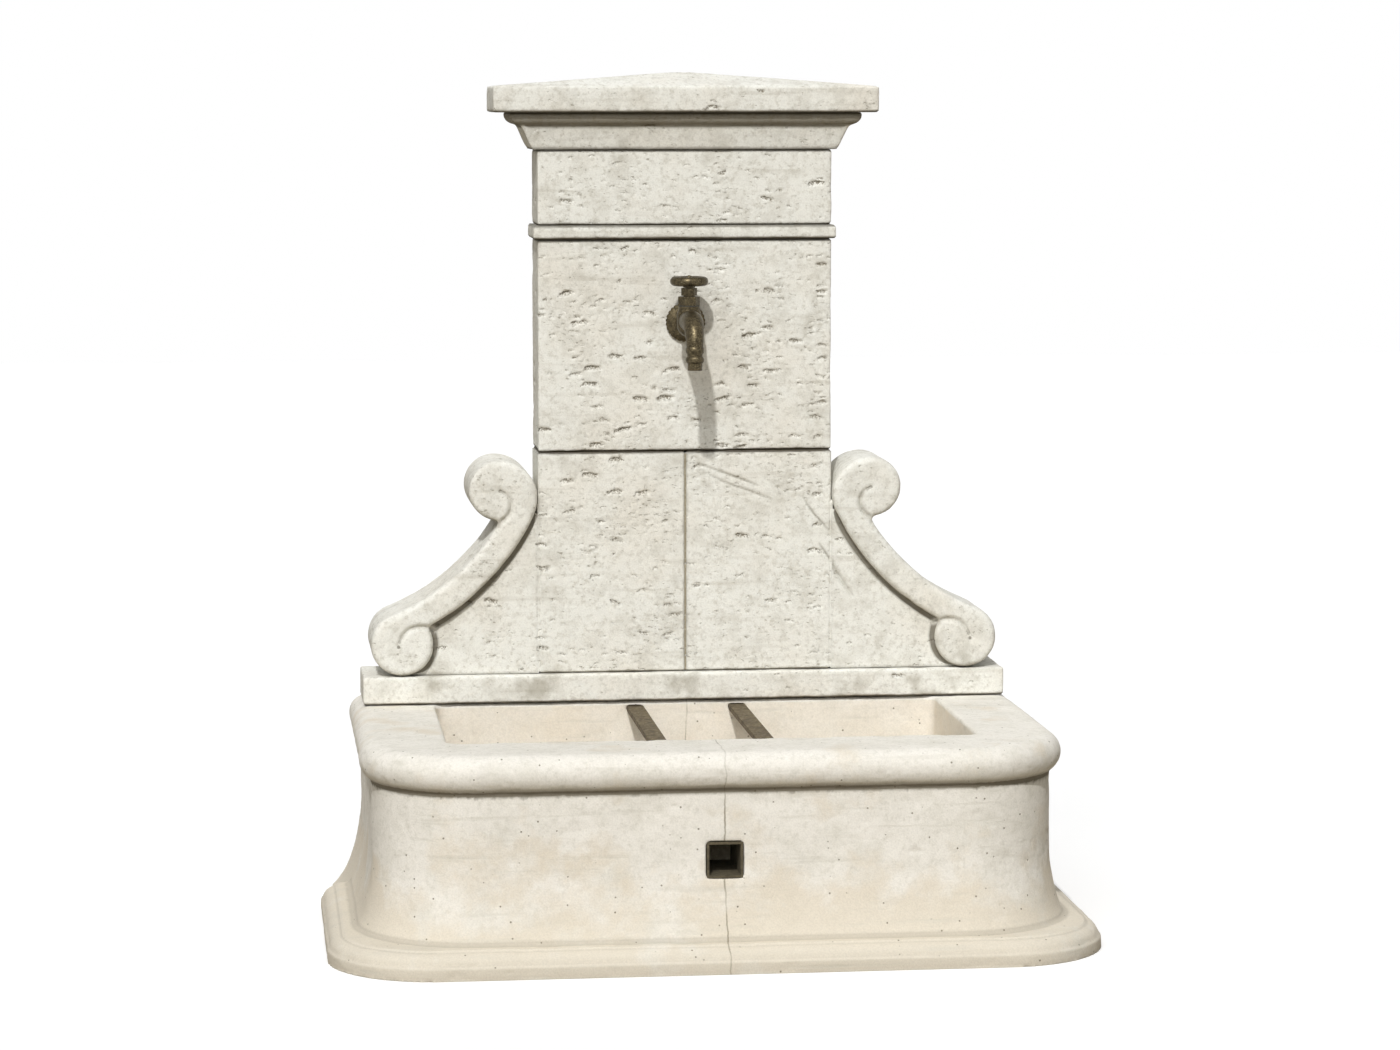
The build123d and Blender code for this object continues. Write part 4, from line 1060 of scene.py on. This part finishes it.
# Nearly black, with a soft sheen
rubber = aged("EPDM rubber, moulded", "#1f1f1e", "#282827", "#3a3937", 0.0, (0.6, 0.8), 6 * MM, 0.1 * MM)
# Bright grey metal
steel = aged("Stainless steel, ribbed", "#7d7d7b", "#90908d", "#a5a5a2", 1.0, (0.3, 0.5), 8 * MM, 0.1 * MM)
# Greyer than the stone, sandy and quite matte
mortar = aged("Lime mortar, weathered", "#8d8470", "#9f9783", "#bbb4a2", 0.0, (0.9, 1.0), 9 * MM, 0.6 * MM)

dress(middle_mortar, mortar)
finishes = {
    brass: (
        "tap_rosette", "tap_body", "spout_nozzle", "tap_bonnet", "gland_nut", "handwheel", "handwheel_screw",
        "spindle", "jumper", "supply_tail", "supply_locknut", "drain_strainer", "drain_backnut",
    ),
    iron: ("bucket_bar_left", "bucket_bar_right"),
    shaded_iron: ("overflow_sleeve",),
    pale_lit_iron: ("overflow_grate",),
    rubber: ("jumper_washer", "gland_packing", "bonnet_washer", "supply_washer", "drain_gasket", "joint_seal"),
    steel: ("course_dowels", "basin_pins"),
}
for material, nodes in finishes.items():
    for node in nodes:
        dress(frame["nodes"][node], material)
    print(material.name, len(nodes), "nodes")

# %% [markdown]
# ## Light and floor
# The sun stands high on the left behind thin cloud. A narrow sun lamp does most of the work and gives the tap its
# shadow; a wide one from nearly the same side softens it; a third, weak one lights the back for anyone who walks
# round. A pale world fills the rest. The floor is seen as white, and throws back only as much light as bare ground
# would.

# %% Light and floor
# Each lamp has the way it shines, its strength and its width in degrees
LAMPS = {
    "sun": ((0.27, 1.0, -1.05), 2.1, 2),
    "bright cloud": ((0.35, 1.0, -0.8), 1.2, 60),
    "back light": ((-0.25, -1.0, -0.3), 1.0, 60),
}
FILL_STRENGTH = 0.2
FLOOR_SIZE = 30
FLOOR_GLOW = 0.12

for name, (way, energy, angle) in LAMPS.items():
    bpy.ops.object.light_add(type="SUN", rotation=Vector(way).to_track_quat("-Z", "Y").to_euler())
    lamp = bpy.context.object
    lamp.name = name
    lamp.data.energy = energy
    lamp.data.angle = math.radians(angle)
print("lamps", ", ".join(LAMPS))

world = bpy.data.worlds.new("Pale sky")
bpy.context.scene.world = world
world.use_nodes = True
sky = world.node_tree
sky.nodes.clear()


def shown_rays(tree):
    """1 for rays from the camera, or by way of a gloss or glass, and 0 for rays that carry light."""
    rays = add_node(tree, "ShaderNodeLightPath", out=None)
    shown = rays["Is Camera Ray"]
    for kind in ("Is Glossy Ray", "Is Transmission Ray"):
        shown = add_node(tree, MATH, MAXIMUM, links={0: shown, 1: rays[kind]})
    return shown


fill = add_node(sky, "ShaderNodeBackground", values={"Color": linear("#f4f4f2"), "Strength": FILL_STRENGTH})
white = add_node(sky, "ShaderNodeBackground", values={"Color": linear("#ffffff"), "Strength": 1.0})
either = add_node(sky, "ShaderNodeMixShader", links={0: shown_rays(sky), 1: fill, 2: white})
add_node(sky, "ShaderNodeOutputWorld", links={"Surface": either}, out=None)

bpy.ops.mesh.primitive_plane_add(size=FLOOR_SIZE)
floor = bpy.context.object
floor.name = "floor"
floor_material, tree = new_material("Pale floor")
shown = shown_rays(tree)
tone = stained(tree, "#8c8069", "#fafafa", shown)
glow = add_node(tree, MATH, MULTIPLY, {1: FLOOR_GLOW}, {0: shown})
surface(
    tree, {"Roughness": 1.0, "Specular IOR Level": 0.0, "Emission Color": linear("#ffffff")},
    {"Base Color": tone, "Emission Strength": glow},
)
dress(floor, floor_material)

bpy.context.scene.view_settings.view_transform = "Standard"
